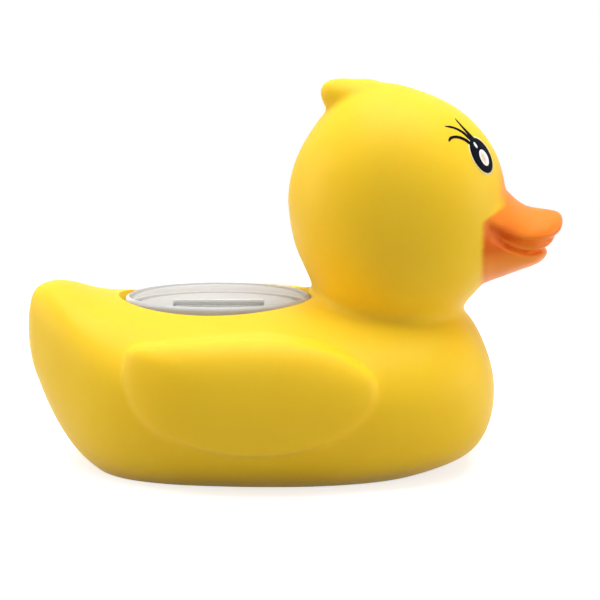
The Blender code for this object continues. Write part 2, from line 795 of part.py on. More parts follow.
def display_bezel():
    """Silver plate under the lens, with the display's window and a pinhole for the lamp."""
    fit = 2 * (LENS_WALL + 2 * GAP + BEZEL_ROOM)
    length, width = LENS_LENGTH - fit, LENS_WIDTH - fit
    bottom = DECK_TOP + GAP
    plate = oval("display_bezel", length, width, bottom, BEZEL_TOP, finish=SILVER)
    window = block("window", (WINDOW_LENGTH, WINDOW_WIDTH, 4 * BEZEL), (0.0, 0.0, bottom))
    hole = pin("pinhole", PINHOLE_RADIUS, bottom - OVER, BEZEL_TOP + OVER, LAMP_ALONG, sides=12)
    cut(plate, window, hole)


def upper_case():
    """White tub, upside down: flange and deck on top, and three posts for the screws inside."""
    case = oval(
        "upper_case", CASE_LENGTH, CASE_WIDTH, CASE_FOOT, DECK_TOP - DECK / 2, finish=WHITE
    )
    flange = oval("flange", LENS_LENGTH, LENS_WIDTH, FLANGE_BOTTOM, DECK_TOP)
    walls = 2 * CASE_WALL
    hollow = oval(
        "case_hollow", CASE_LENGTH - walls, CASE_WIDTH - walls, CASE_FOOT - OVER, FLANGE_BOTTOM
    )
    joined(case, flange)
    cut(case, hollow)
    for i, (along, across) in enumerate(POSTS):
        foot = BOSS_TOP + GAP
        joined(case, pin(f"post_{i}", POST_RADIUS, foot, FLANGE_BOTTOM + DECK / 2, along, across))
    for i, (along, across) in enumerate(POSTS):
        top = SHOULDER + SCREW_LENGTH + OVER
        bore = SCREW_RADIUS + GAP
        cut(case, pin(f"pilot_{i}", bore, 0.0, top, along, across, sides=12))
    room = 2 * GAP
    opening = (GLASS_LENGTH + room, GLASS_WIDTH + room, 4 * DECK)
    glass = block("glass_opening", opening, (0.0, 0.0, DECK_TOP))
    cut(case, glass, pin("lamp_hole", LAMP_RADIUS + GAP, BOARD_TOP, DECK_TOP + OVER, LAMP_ALONG))


def display():
    """Display glass, the frame that holds it, and the rubber strips that connect it."""
    glass_top = DECK_TOP - GAP
    glass_bottom = glass_top - GLASS
    block(
        "display_glass",
        (GLASS_LENGTH, GLASS_WIDTH, GLASS),
        (0.0, 0.0, (glass_top + glass_bottom) / 2),
        DISPLAY,
    )
    bottom = BOARD_TOP + GAP
    top = FLANGE_BOTTOM - GAP
    middle = (0.0, 0.0, (bottom + top) / 2)
    inside = (GLASS_LENGTH + 2 * GAP, GLASS_WIDTH + 2 * GAP)
    outside = (inside[0] + 2 * FRAME_WALL, inside[1] + 2 * FRAME_WALL, top - bottom)
    frame = block("display_frame", outside, middle, WHITE)
    cut(frame, block("frame_opening", (*inside, 2 * (top - bottom)), middle))
    height = glass_bottom - GAP - bottom
    for side, y in (("left", 1), ("right", -1)):
        across = y * (GLASS_WIDTH - STRIP_WIDTH) / 2
        size = (GLASS_LENGTH, STRIP_WIDTH, height)
        block(f"contact_strip_{side}", size, (0.0, across, bottom + height / 2), RUBBER)


def circuit():
    """Circuit board with its chip, its timing crystal and the alarm lamp."""
    smaller = 2 * (CASE_WALL + SLIP)
    board = oval(
        "circuit_board",
        CASE_LENGTH - smaller,
        CASE_WIDTH - smaller,
        BOARD_BOTTOM,
        BOARD_TOP,
        finish=BOARD_GREEN,
    )
    for i, (along, across) in enumerate(POSTS):
        notch = POST_RADIUS + GAP
        cut(board, pin(f"notch_{i}", notch, BOARD_BOTTOM - OVER, BOARD_TOP + OVER, along, across))
    top = BOARD_BOTTOM - GAP
    angles = [math.pi / 2 * i / 5 for i in range(5, -1, -1)]
    dome = [(CHIP_RADIUS * math.sin(a), top - CHIP_HEIGHT * math.cos(a)) for a in angles]
    behind = BAY_ALONG - (CHIP_RADIUS + STEM_RADIUS + OVER)
    turned("controller_chip", [(0.0, top), *dome], behind, 0.0, BLACK)
    half = CRYSTAL_LENGTH / 2
    crystal = pin(
        "timing_crystal", CRYSTAL_RADIUS, -half, half, BAY_ALONG + CELL_RADIUS, CRYSTAL_ACROSS, STEEL
    )
    crystal.rotation_euler.y = math.pi / 2
    crystal.location.z = top - CRYSTAL_RADIUS
    foot = BOARD_TOP + GAP
    crown = DECK_TOP - GAP - LAMP_RADIUS
    lamp = [(LAMP_RADIUS * math.sin(a), crown + LAMP_RADIUS * math.cos(a)) for a in angles[::-1]]
    turned("alarm_lamp", lamp + [(LAMP_RADIUS, foot), (0.0, foot)], LAMP_ALONG, 0.0, RED, steps=16)


def lower_case():
    """Foot of the capsule: an oval plate with a collar, three bosses, the cells' bay and bores."""
    case = oval("lower_case", CASE_LENGTH, CASE_WIDTH, FOOT_RECESS, PLATE_TOP, finish=WHITE)
    fit = 2 * (CASE_WALL + GAP)
    length, width = CASE_LENGTH - fit, CASE_WIDTH - fit
    collar_top = PLATE_TOP + COLLAR_HEIGHT
    thin = 2 * COLLAR_WALL
    joined(case, oval("collar", length, width, PLATE_MIDDLE, collar_top))
    cut(case, oval("collar_bore", length - thin, width - thin, PLATE_TOP, collar_top + OVER))
    for i, (along, across) in enumerate(POSTS):
        joined(case, pin(f"boss_{i}", POST_RADIUS, PLATE_MIDDLE, BOSS_TOP, along, across))
        room = POST_RADIUS + GAP
        cut(case, pin(f"post_room_{i}", room, BOSS_TOP, collar_top + OVER, along, across))
    joined(
        case,
        pin("bay", BAY_OUTSIDE, PLATE_MIDDLE, BAY_ROOF, BAY_ALONG, sides=32),
        pin("probe_boss", PROBE_BOSS, PLATE_MIDDLE, BOSS_TOP, PROBE_ALONG),
    )
    cut(
        case,
        pin("bay_bore", BAY_RADIUS, -OVER, BAY_TOP, BAY_ALONG, sides=32),
        pin("bay_step", STEP_RADIUS, -OVER, STEP_TOP, BAY_ALONG, sides=32),
        pin("probe_bore", PROBE_RADIUS + GAP, -OVER, BOSS_TOP + OVER, PROBE_ALONG),
    )
    for i, (along, across) in enumerate(POSTS):
        head, shank = SCREW_HEAD_RADIUS + GAP, SCREW_RADIUS + GAP
        cut(
            case,
            pin(f"head_room_{i}", head, -OVER, SHOULDER + GAP, along, across, sides=20),
            pin(f"screw_bore_{i}", shank, 0.0, BOSS_TOP + OVER, along, across, sides=12),
        )
    for i, across in enumerate((PIN_ACROSS, -PIN_ACROSS)):
        head, shank = PIN_HEAD_RADIUS + GAP, PIN_RADIUS + GAP
        deep = FOOT_RECESS + PIN_HEAD + GAP
        cut(
            case,
            pin(f"pin_room_{i}", head, -OVER, deep, PIN_ALONG, across, sides=20),
            pin(f"pin_bore_{i}", shank, 0.0, BOSS_TOP + OVER, PIN_ALONG, across, sides=12),
        )
    slot = (CONTACT + 2 * GAP, CONTACT_WIDTH + 2 * GAP, 2 * (BAY_WALL + OVER))
    beside = BAY_ALONG + CELL_RADIUS + GAP + CONTACT / 2
    stem = STEM_RADIUS + GAP
    cut(
        case,
        pin("minus_bore", stem, BAY_TOP - OVER, BAY_ROOF + OVER, BAY_ALONG, sides=12),
        block("plus_slot", slot, (beside, 0.0, BAY_TOP + BAY_WALL / 2)),
    )


def case_seal():
    """Flat oval seal between the two halves of the capsule."""
    bottom = PLATE_TOP + GAP
    seal = oval("case_seal", CASE_LENGTH, CASE_WIDTH, bottom, bottom + SEAL, finish=RUBBER)
    fit = 2 * CASE_WALL
    cut(seal, oval("case_seal_bore", CASE_LENGTH - fit, CASE_WIDTH - fit, 0.0, bottom + OVER))


def case_screws():
    """Three screws up through the foot into the posts."""
    for i, (along, across) in enumerate(POSTS):
        tip = SHOULDER + SCREW_LENGTH
        profile = [
            (0.0, tip),
            (SCREW_RADIUS, tip - SCREW_RADIUS),
            (SCREW_RADIUS, SHOULDER),
            (SCREW_HEAD_RADIUS, SHOULDER),
            (SCREW_HEAD_RADIUS, COVER_BOTTOM),
            (0.0, COVER_BOTTOM),
        ]
        turned(f"case_screw_{i + 1}", profile, along, across, STEEL, steps=16)


def battery():
    """Two button cells, their contacts, and the cover with its seal and coin slot."""
    second = CELLS_BOTTOM + CELL_HEIGHT + GAP
    for name, bottom in (("button_cell_lower", CELLS_BOTTOM), ("button_cell_upper", second)):
        top = bottom + CELL_HEIGHT
        profile = [
            (0.0, top),
            (CELL_RADIUS - 2 * CELL_RIM, top),
            (CELL_RADIUS - CELL_RIM, top - CELL_RIM),
            (CELL_RADIUS, top - 2 * CELL_RIM),
            (CELL_RADIUS, bottom),
            (0.0, bottom),
        ]
        turned(name, profile, BAY_ALONG, 0.0, STEEL)
    disc = CELLS_TOP + GAP
    board = BOARD_BOTTOM - GAP
    minus = [
        (0.0, board),
        (STEM_RADIUS, board),
        (STEM_RADIUS, disc + CONTACT),
        (CONTACT_WIDTH, disc + CONTACT),
        (CONTACT_WIDTH, disc),
        (0.0, disc),
    ]
    turned("cell_contact_minus", minus, BAY_ALONG, 0.0, STEEL, steps=16)
    height = board - second
    beside = BAY_ALONG + CELL_RADIUS + GAP + CONTACT / 2
    plus = (CONTACT, CONTACT_WIDTH, height)
    block("cell_contact_plus", plus, (beside, 0.0, second + height / 2), STEEL)
    rim = STEP_RADIUS - GAP
    plug = BAY_RADIUS - 2 * CORD
    plug_top = CELLS_BOTTOM - GAP
    cover = turned(
        "battery_cover",
        [
            (0.0, plug_top),
            (plug, plug_top),
            (plug, COVER_TOP),
            (rim, COVER_TOP),
            (rim, COVER_BOTTOM),
            (0.0, COVER_BOTTOM),
        ],
        BAY_ALONG,
        0.0,
        WHITE,
        steps=32,
    )
    slot = (SLOT_WIDTH, SLOT_LENGTH, 2 * SLOT_DEPTH)
    cut(cover, block("coin_slot", slot, (BAY_ALONG, 0.0, COVER_BOTTOM)))
    middle = COVER_TOP + GAP + CORD
    ring = round_ring(BAY_RADIUS + CORD, middle, 2 * CORD)
    turned("cover_seal", ring, BAY_ALONG, 0.0, RUBBER, closed=True)


def sensors():
    """Steel temperature probe with its thermistor, and two pins that feel the water."""
    flange = PROBE_RADIUS + PROBE_FLANGE
    top = FOOT_RECESS + PROBE_HEIGHT
    inner = PROBE_RADIUS - PROBE_WALL
    floor = FOOT_RECESS + PROBE_WALL
    profile = [
        (inner, top),
        (PROBE_RADIUS, top),
        (PROBE_RADIUS, BOSS_TOP + PROBE_FLANGE),
        (flange, BOSS_TOP + PROBE_FLANGE),
        (flange, BOSS_TOP + GAP),
        (PROBE_RADIUS, BOSS_TOP + GAP),
        (PROBE_RADIUS, FOOT_RECESS + PROBE_ROUND),
        (PROBE_RADIUS - PROBE_ROUND, FOOT_RECESS),
        (0.0, FOOT_RECESS),
        (0.0, floor),
        (inner - PROBE_ROUND, floor),
        (inner, floor + PROBE_ROUND),
    ]
    turned("temperature_probe", profile, PROBE_ALONG, 0.0, STEEL, closed=True)
    board = BOARD_BOTTOM - GAP
    centre = floor + GAP + BEAD_RADIUS
    angles = [math.pi * i / 8 for i in range(2, 9)]
    bead = [(BEAD_RADIUS * math.sin(a), centre + BEAD_RADIUS * math.cos(a)) for a in angles]
    wire = [(0.0, board), (WIRE_RADIUS, board), (WIRE_RADIUS, bead[0][1])]
    turned("thermistor", wire + bead, PROBE_ALONG, 0.0, BLACK, steps=16)
    for side, across in (("left", PIN_ACROSS), ("right", -PIN_ACROSS)):
        head = FOOT_RECESS + PIN_HEAD
        profile = [
            (0.0, board),
            (PIN_RADIUS, board),
            (PIN_RADIUS, head),
            (PIN_HEAD_RADIUS, head),
            (PIN_HEAD_RADIUS, FOOT_RECESS),
            (0.0, FOOT_RECESS),
        ]
        turned(f"water_pin_{side}", profile, PIN_ALONG, across, STEEL, steps=16)


def main():
    """Builds every piece."""
    duck_shell()
    display_lens()
    lens_seal()
    display_bezel()
    upper_case()
    display()
    circuit()
    lower_case()
    case_seal()
    case_screws()
    battery()
    sensors()


main()
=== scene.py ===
"""A floating duck bath thermometer, dressed for a studio view over its CAD frame.

Each sub-assembly is a class that holds its sizes, builds its own meshes and dresses them. Lengths
are in metres, except where a name or comment says millimetres. +X is the way the duck looks, +Z is
up, and the origin is on the floor in the middle of the duck.
"""

import logging
import math
from collections.abc import Iterable, Mapping, Sequence
from dataclasses import dataclass
from enum import Enum
from typing import Any, Union

import bmesh
import bpy
import numpy as np
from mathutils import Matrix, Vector
from mathutils.bvhtree import BVHTree


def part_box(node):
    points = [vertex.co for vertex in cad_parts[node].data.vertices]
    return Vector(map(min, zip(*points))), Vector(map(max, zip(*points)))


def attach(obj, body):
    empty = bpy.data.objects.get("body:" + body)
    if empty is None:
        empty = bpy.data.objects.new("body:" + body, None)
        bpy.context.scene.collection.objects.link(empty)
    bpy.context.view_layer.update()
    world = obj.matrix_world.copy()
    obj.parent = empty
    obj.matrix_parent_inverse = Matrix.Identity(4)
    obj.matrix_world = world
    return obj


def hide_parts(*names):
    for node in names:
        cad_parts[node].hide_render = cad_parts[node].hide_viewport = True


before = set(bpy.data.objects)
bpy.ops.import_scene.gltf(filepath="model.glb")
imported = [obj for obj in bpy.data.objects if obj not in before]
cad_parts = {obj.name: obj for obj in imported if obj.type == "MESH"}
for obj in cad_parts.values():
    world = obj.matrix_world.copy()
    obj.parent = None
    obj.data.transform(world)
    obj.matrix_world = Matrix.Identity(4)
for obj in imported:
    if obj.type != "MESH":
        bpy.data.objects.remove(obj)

logging.basicConfig(level=logging.INFO, format="%(name)s: %(message)s")
log = logging.getLogger("duck")

MM = 0.001
OVER = 1.0 * MM  # how far a cutter passes what it cuts
TURNED_CREASE = 32.0  # degrees from which an edge of a turned form is sharp
Row = tuple[float, ...]
Colour = tuple[float, float, float]
Point = tuple[float, float]
Number = Union[int, float]


class Side(Enum):
    """The two sides of the duck, each with its direction along Y."""

    LEFT = 1
    RIGHT = -1


class Working(Enum):
    """How a metal piece was made, which sets the run of its fine marks."""

    TURNED = "turned"
    ROLLED = "rolled"
    DRAWN = "drawn"


class Cut(Enum):
    """What a Boolean does with its second form."""

    ADD = "UNION"
    TAKE = "DIFFERENCE"


# Shader maths


class Socket:
    """A value in a material's node tree, for use in Python expressions."""

    def __init__(self, graph: "Graph", out: bpy.types.NodeSocket) -> None:
        """Wraps a node's output."""
        self.graph = graph
        self.out = out

    def _math(self, operation: str, *values: Union["Socket", Number]) -> "Socket":
        """Adds a Math node.

        Args:
            operation: The node's operation.
            values: Its inputs, in order.

        Returns:
            The result.
        """
        inputs = dict(enumerate(values))
        made = self.graph.node("ShaderNodeMath", {"operation": operation}, inputs)
        return Socket(self.graph, made.outputs[0])

    def __add__(self, other: Union["Socket", Number]) -> "Socket":
        """Sum."""
        return self._math("ADD", self, other)

    def __radd__(self, other: Number) -> "Socket":
        """Sum, with the number first."""
        return self._math("ADD", other, self)

    def __sub__(self, other: Union["Socket", Number]) -> "Socket":
        """Difference."""
        return self._math("SUBTRACT", self, other)

    def __rsub__(self, other: Number) -> "Socket":
        """Difference, with the number first."""
        return self._math("SUBTRACT", other, self)

    def __mul__(self, other: Union["Socket", Number]) -> "Socket":
        """Product."""
        return self._math("MULTIPLY", self, other)

    def __truediv__(self, other: Union["Socket", Number]) -> "Socket":
        """Quotient."""
        return self._math("DIVIDE", self, other)

    def __pow__(self, other: Number) -> "Socket":
        """Power."""
        return self._math("POWER", self, other)

    def size(self) -> "Socket":
        """The value without its sign."""
        return self._math("ABSOLUTE", self)

    def least(self, other: Union["Socket", Number]) -> "Socket":
        """The smaller of the two."""
        return self._math("MINIMUM", self, other)

    def most(self, other: Union["Socket", Number]) -> "Socket":
        """The larger of the two."""
        return self._math("MAXIMUM", self, other)

    def fraction(self) -> "Socket":
        """What the value has after its whole number."""
        return self._math("FRACT", self)

    def step(self, low: Number, high: Number) -> "Socket":
        """A smooth step.

        Args:
            low: The value at which it leaves 0.
            high: The value at which it reaches 1.

        Returns:
            The step, from 0 to 1.
        """
        settings = {"interpolation_type": "SMOOTHSTEP"}
        inputs = {"Value": self, "From Min": low, "From Max": high}
        made = self.graph.node("ShaderNodeMapRange", settings, inputs)
        return Socket(self.graph, made.outputs[0])


Value = Union[Socket, Number, Sequence[float]]


class Graph:
    """The node tree of one new material, or of the world."""

    def __init__(self, name: str, world: bool = False) -> None:
        """Makes an empty material, or world, of this name."""
        self.owner = (bpy.data.worlds if world else bpy.data.materials).new(name)
        self.owner.use_nodes = True
        self.tree = self.owner.node_tree
        self.tree.nodes.clear()
        self.out = self.node("ShaderNodeOutputWorld" if world else "ShaderNodeOutputMaterial")
        self._coordinates: Socket | None = None

    def node(
        self,
        kind: str,
        settings: Mapping[str, Any] | None = None,
        inputs: Mapping[Union[str, int], Value] | None = None,
    ) -> bpy.types.Node:
        """Adds a node.

        Args:
            kind: The node's type.
            settings: Its properties, set first.
            inputs: Values or links of its sockets, by name or number.

        Returns:
            The node.
        """
        made = self.tree.nodes.new(kind)
        for key, setting in (settings or {}).items():
            setattr(made, key, setting)
        for key, value in (inputs or {}).items():
            if isinstance(value, Socket):
                self.tree.links.new(value.out, made.inputs[key])
            else:
                made.inputs[key].default_value = value
        return made

    def place(self) -> Socket:
        """The point on the object, in millimetres from the origin."""
        if self._coordinates is None:
            inside = Socket(self, self.node("ShaderNodeTexCoord").outputs["Object"])
            scaled = self.node(
                "ShaderNodeVectorMath", {"operation": "SCALE"}, {0: inside, "Scale": 1 / MM}
            )
            self._coordinates = Socket(self, scaled.outputs[0])
        return self._coordinates

    def axes(self, vector: Socket | None = None) -> tuple[Socket, Socket, Socket]:
        """X, Y and Z of a vector, by default of the point on the object in millimetres."""
        parts = self.node("ShaderNodeSeparateXYZ", inputs={0: vector or self.place()})
        return tuple(Socket(self, out) for out in parts.outputs)

    def radius(self, along: float, across: float = 0.0) -> Socket:
        """Distance from an upright axis.

        Args:
            along: The axis's X, in millimetres.
            across: The axis's Y, in millimetres.

        Returns:
            The distance in millimetres.
        """
        x, y, _ = self.axes()
        return ((x - along) ** 2.0 + (y - across) ** 2.0) ** 0.5

    def stretched(self, by: Row) -> Socket:
        """The point on the object with each of its axes multiplied by these."""
        made = self.node(
            "ShaderNodeVectorMath", {"operation": "MULTIPLY"}, {0: self.place(), 1: by}
        )
        return Socket(self, made.outputs[0])

    def noise(self, size: float, detail: float = 3.0, at: Socket | None = None) -> Socket:
        """Soft noise.

        Args:
            size: About how far apart its patches are, in millimetres.
            detail: How many finer layers it has.
            at: Where it is read, by default the point on the object.

        Returns:
            The noise, about 0.3 to 0.7.
        """
        inputs = {"Vector": at or self.place(), "Scale": 1 / size, "Detail": detail}
        made = self.node("ShaderNodeTexNoise", inputs=inputs)
        return Socket(self, made.outputs[0])

    def cells(self, size: float) -> Socket:
        """Distance to the nearest of many scattered points, this many millimetres apart."""
        inputs = {"Vector": self.place(), "Scale": 1 / size}
        made = self.node("ShaderNodeTexVoronoi", inputs=inputs)
        return Socket(self, made.outputs[0])

    def mix(self, factor: Union[Socket, Number], first: Value, second: Value) -> Socket:
        """A mix of two colours.

        Args:
            factor: 0 for the first, 1 for the second.
            first: A colour, or a socket with one.
            second: Another.

        Returns:
            The mixed colour.
        """
        inputs: dict[Union[str, int], Value] = {0: factor}
        for socket, colour in ((6, first), (7, second)):
            inputs[socket] = colour if isinstance(colour, Socket) else (*colour, 1.0)
        made = self.node("ShaderNodeMix", {"data_type": "RGBA"}, inputs)
        return Socket(self, made.outputs[2])

    def bump(self, height: Socket, depth: float, strength: float = 1.0) -> Socket:
        """A normal from a height.

        Args:
            height: The height, from 0 to 1.
            depth: How deep 1 is, in millimetres.
            strength: How much of it shows.

        Returns:
            The normal.
        """
        inputs = {"Height": height, "Distance": depth * MM, "Strength": strength}
        return Socket(self, self.node("ShaderNodeBump", inputs=inputs).outputs[0])

    def surface(self, inputs: Mapping[str, Value]) -> bpy.types.Material:
        """Ends the material in one Principled shader.

        Args:
            inputs: The shader's values and links.

        Returns:
            The material.
        """
        shader = self.node("ShaderNodeBsdfPrincipled", inputs=inputs)
        return self.show(Socket(self, shader.outputs[0]))

    def blend(self, factor: Socket, first: bpy.types.Node, second: bpy.types.Node) -> Socket:
        """A mix of two shaders.

        Args:
            factor: 0 for the first, 1 for the second.
            first: A shader's node.
            second: Another.

        Returns:
            The mixed shader.
        """
        ends = {1: Socket(self, first.outputs[0]), 2: Socket(self, second.outputs[0])}
        made = self.node("ShaderNodeMixShader", inputs={0: factor, **ends})
        return Socket(self, made.outputs[0])

    def background_seen(self) -> Socket:
        """1 for a ray that shows the background: straight, in a gloss or through a clear piece."""
        path = self.node("ShaderNodeLightPath")
        kinds = ("Is Camera Ray", "Is Glossy Ray", "Is Transmission Ray")
        straight, gloss, through = (Socket(self, path.outputs[kind]) for kind in kinds)
        return straight.most(gloss).most(through)

    def show(self, shader: Socket) -> bpy.types.Material | bpy.types.World:
        """Ends the tree in this shader, and returns the material or world."""
        self.tree.links.new(shader.out, self.out.inputs["Surface"])
        return self.owner


# Finishes


@dataclass(frozen=True)
class VinylFinish:
    """Soft rotationally moulded vinyl, yellow in the mass, with the bill sprayed orange.

    Sizes are in millimetres.
    """

    yellow: Colour = (0.95, 0.625, 0.026)
    deep: Colour = (0.93, 0.575, 0.018)
    orange: Colour = (0.93, 0.245, 0.020)
    # darker clouds in the paint, and painted shade round the mouth's corners
    dark_orange: Colour = (0.80, 0.145, 0.008)
    painted_lit_orange: Colour = (0.97, 0.32, 0.045)  # painted light: lighter orange low on the bill, as though lit from below
    root_low: float = 45.2  # where the paint starts along the duck, beside the mouth
    root_high: float = 50.3  # where it starts above that, on the brow
    brow: float = 63.6  # height of the step between the two
    brow_step: Row = (-2.0, 1.6)  # where the step starts and ends, from that height
    chin: float = 43.6
    chin_fade: float = 0.6
    painted_light_heights: Row = (49.5, 55.0)  # heights between which the bill's painted light from below gives way to its orange
    mouth: float = 57.0  # height of its corners, round which the bill is painted darker as painted shade under the upper bill's rim
    mouth_fade: Row = (2.0, 5.0)  # how far above and below them the painted shade fades out
    corner_fade: Row = (49.0, 56.0)  # where the painted shade fades out along the duck
    fade: float = 1.0
    brow_fade: float = 0.9  # how much softer the edge is on the brow
    stray: float = 0.9  # how far the paint's edge strays
    stray_size: float = 1.4  # how far apart its turns are
    patch: float = 22.0  # size of the vinyl's deeper patches
    cloud: float = 5.0  # size of the clouds in the paint
    grain: float = 0.35
    swell: float = 6.5  # size of the slow swell under the grain
    relief: float = 0.10
    light_depth: float = 2.4  # how far light goes in
    roughness: float = 0.47

    def material(self) -> bpy.types.Material:
        """The two-colour vinyl, with a soft edge where the spray mask ended."""
        g = Graph("vinyl_skin")
        x, y, z = g.axes()
        ragged = (g.noise(self.stray_size, 4.0) - 0.5) * self.stray
        brow = (z + ragged).step(*(self.brow + edge for edge in self.brow_step))
        root = self.root_low + brow * (self.root_high - self.root_low)
        front = ((x + ragged - root) / (self.fade + brow * self.brow_fade)).step(-1.0, 1.0)
        above = (z + ragged).step(self.chin - self.chin_fade, self.chin + self.chin_fade)
        paint = front * above
        patches = g.noise(self.patch, 2.0).step(0.3, 0.7)
        skin = g.mix(patches * 0.45, self.yellow, self.deep)
        cloudy = g.noise(self.cloud, 3.0).step(0.35, 0.75)
        # painted shade: darker orange round the mouth's corners, under the upper bill's rim
        mouth_shade = 1 - (z - self.mouth).size().step(*self.mouth_fade)
        mouth_shade = mouth_shade * (1 - x.step(*self.corner_fade))
        bill = g.mix((cloudy * 0.12 + mouth_shade * 0.85).least(1.0), self.orange, self.dark_orange)
        # painted light: the bill is lighter low down, as though lit from below
        bill = g.mix(1 - z.step(*self.painted_light_heights), bill, self.painted_lit_orange)
        colour = g.mix(paint, skin, bill)
        grain = g.noise(self.grain, 2.0)
        swell = g.noise(self.swell, 1.0)
        height = grain * 0.12 + swell * 0.88
        rough = self.roughness + (grain - 0.5) * 0.10 + (patches - 0.5) * 0.04 - paint * 0.05
        return g.surface(
            {
                "Base Color": colour,
                "Roughness": rough,
                "Normal": g.bump(height, self.relief, strength=0.55),
                "IOR": 1.50,
                "Specular IOR Level": 0.15,
                "Subsurface Weight": 0.22,
                "Subsurface Radius": (1.0, 0.45, 0.08),
                "Subsurface Scale": self.light_depth * MM,
                "Coat Roughness": 0.5,
            }
        )


@dataclass(frozen=True)
class InkFinish:
    """Pad-printed ink, thin and slightly uneven. Sizes are in millimetres."""

    name: str
    colour: Colour
    thin: Colour  # where the ink is thinner
    roughness: float = 0.34
    gloss: float = 0.12
    mottle: float = 0.8
    grain: float = 0.25
    relief: float = 0.012

    def material(self) -> bpy.types.Material:
        """The ink, with faint pinholes and a soft mottle."""
        g = Graph(self.name)
        mottle = g.noise(self.mottle, 4.0).step(0.45, 0.85)
        grain = g.noise(self.grain, 2.0)
        return g.surface(
            {
                "Base Color": g.mix(mottle * 0.5, self.colour, self.thin),
                "Roughness": self.roughness + (grain - 0.5) * 0.16,
                "Normal": g.bump(grain, self.relief),
                "Specular IOR Level": self.gloss,
            }
        )


@dataclass(frozen=True)
class PupilFinish:
    """The white of the eye, which darkens to beige in its middle. Sizes are in millimetres."""

    white: Colour = (0.93, 0.92, 0.93)
    beige: Colour = (0.66, 0.50, 0.38)
    middle: Row = (45.35, 12.2, 76.75)  # on either side of the duck
    reach: float = 2.1
    squash: Point = (1.45, 0.9)  # of its distances along the duck and up
    mottle: float = 0.6
    relief: float = 0.012
    roughness: float = 0.32

    def material(self) -> bpy.types.Material:
        """White ink with a soft beige centre."""
        g = Graph("eye_white_ink")
        x, y, z = g.axes()
        along, across, up = self.middle
        flat = ((x - along) ** 2.0 + (y.size() - across) ** 2.0) ** 0.5
        squash_flat, squash_up = self.squash
        away = ((flat * squash_flat) ** 2.0 + ((z - up) * squash_up) ** 2.0) ** 0.5
        shade = 1 - away.step(self.reach * 0.35, self.reach)
        mottle = g.noise(self.mottle, 4.0)
        return g.surface(
            {
                "Base Color": g.mix((shade * (0.25 + mottle)).least(1.0), self.white, self.beige),
                "Roughness": self.roughness + (mottle - 0.5) * 0.12,
                "Normal": g.bump(mottle, self.relief),
            }
        )


@dataclass(frozen=True)
class ClearFinish:
    """Clear moulded styrene, which mirrors more of the room the flatter it is looked at.

    Its edge is frosted where the seal grips it, and the side of that edge that faces the eye is
    painted grey, as painted shade.
    Sizes are in millimetres.
    """

    middle: float  # along the duck
    reach: float  # half its length
    ratio: float  # its width over its length
    tint: Colour = (0.88, 0.875, 0.86)
    # grey of the frosted edge's painted shade
    shaded_frost: Colour = (0.53, 0.535, 0.55)
    clear: float = 0.035  # how much of it shows where it is looked at straight on
    mirror: float = 0.55  # and how much more at its horizon
    edge: float = 0.7  # width of the frosted edge
    edge_fade: float = 0.4
    turned_away: Point = (0.50, 0.75)  # slopes between which the frosted edge's painted shade, grey where it faces the eye, fades out
    hairline: float = 1.0
    haze: float = 9.0
    relief: float = 0.006
    roughness: float = 0.06

    def material(self) -> bpy.types.Material:
        """Thin clear plastic, with a trace of haze and fine hairlines from wiping."""
        g = Graph("clear_plastic_lens")
        x, y, _ = g.axes()
        out = ((x - self.middle) ** 2.0 + (y / self.ratio) ** 2.0) ** 0.5
        start = self.reach - self.edge
        frosted = out.step(start - self.edge_fade, start)
        wiped = g.noise(self.hairline, 3.0, g.stretched((0.25, 2.6, 1.0)))
        haze = g.noise(self.haze, 2.0).step(0.3, 0.8)
        slope = Socket(g, g.node("ShaderNodeLayerWeight", inputs={"Blend": 0.5}).outputs["Facing"])
        film = self.clear + haze * 0.02 + slope**3.0 * self.mirror
        # painted shade: the frosted edge is grey where it faces the eye
        grey = frosted * (1 - slope.step(*self.turned_away))
        return g.surface(
            {
                "Base Color": g.mix(grey, self.tint, self.shaded_frost),
                "Roughness": self.roughness + haze * 0.05 + frosted * 0.35,
                "Normal": g.bump(wiped, self.relief),
                "Alpha": film.most(frosted * 0.92),
                "IOR": 1.49,
            }
        )


@dataclass(frozen=True)
class SilverFinish:
    """Moulded plate sprayed with a pale silver paint, full of fine flakes.

    Its pinhole and a thin ring round it are painted near-black, as painted shade. Sizes are in
    millimetres.
    """

    hole: float  # where the pinhole is, along the duck
    light: Colour = (0.50, 0.49, 0.465)
    dark: Colour = (0.40, 0.39, 0.37)
    # near-black of the painted shade in the pinhole
    hole_shade: Colour = (0.035, 0.035, 0.04)
    hole_shade_edge: Point = (0.62, 0.80)  # radii between which the pinhole's painted shade gives way to the paint
    flake: float = 0.16
    cloud: float = 8.0
    relief: float = 0.012
    roughness: float = 0.36

    def material(self) -> bpy.types.Material:
        """The flaked paint, clouded a little where the spray overlapped."""
        g = Graph("silver_paint")
        flakes = g.cells(self.flake).step(0.05, 0.5)
        clouds = g.noise(self.cloud, 3.0).step(0.3, 0.7)
        paint = g.mix(flakes * 0.35 + clouds * 0.25, self.light, self.dark)
        # painted shade: this mask is 0 in and round the pinhole, which is painted near-black and
        # not metallic
        sprayed = g.radius(self.hole).step(*self.hole_shade_edge)
        return g.surface(
            {
                "Base Color": g.mix(sprayed, self.hole_shade, paint),
                "Metallic": sprayed * (0.30 + flakes * 0.25),
                "Roughness": self.roughness + flakes * 0.12,
                "Normal": g.bump(flakes, self.relief),
            }
        )


@dataclass(frozen=True)
class MouldedFinish:
    """Rigid moulded plastic with a fine spark-eroded grain. Sizes are in millimetres."""

    name: str
    colour: Colour
    shade: Colour
    roughness: float = 0.42
    grain: float = 0.22
    flow: float = 4.0
    relief: float = 0.02

    def material(self) -> bpy.types.Material:
        """The plastic, with its grain and faint flow marks."""
        g = Graph(self.name)
        grain = g.noise(self.grain, 2.0)
        flow = g.noise(self.flow, 3.0, g.stretched((1.0, 0.35, 1.0))).step(0.3, 0.7)
        return g.surface(
            {
                "Base Color": g.mix(flow * 0.5, self.colour, self.shade),
                "Roughness": self.roughness + (grain - 0.5) * 0.18,
                "Normal": g.bump(grain, self.relief),
            }
        )


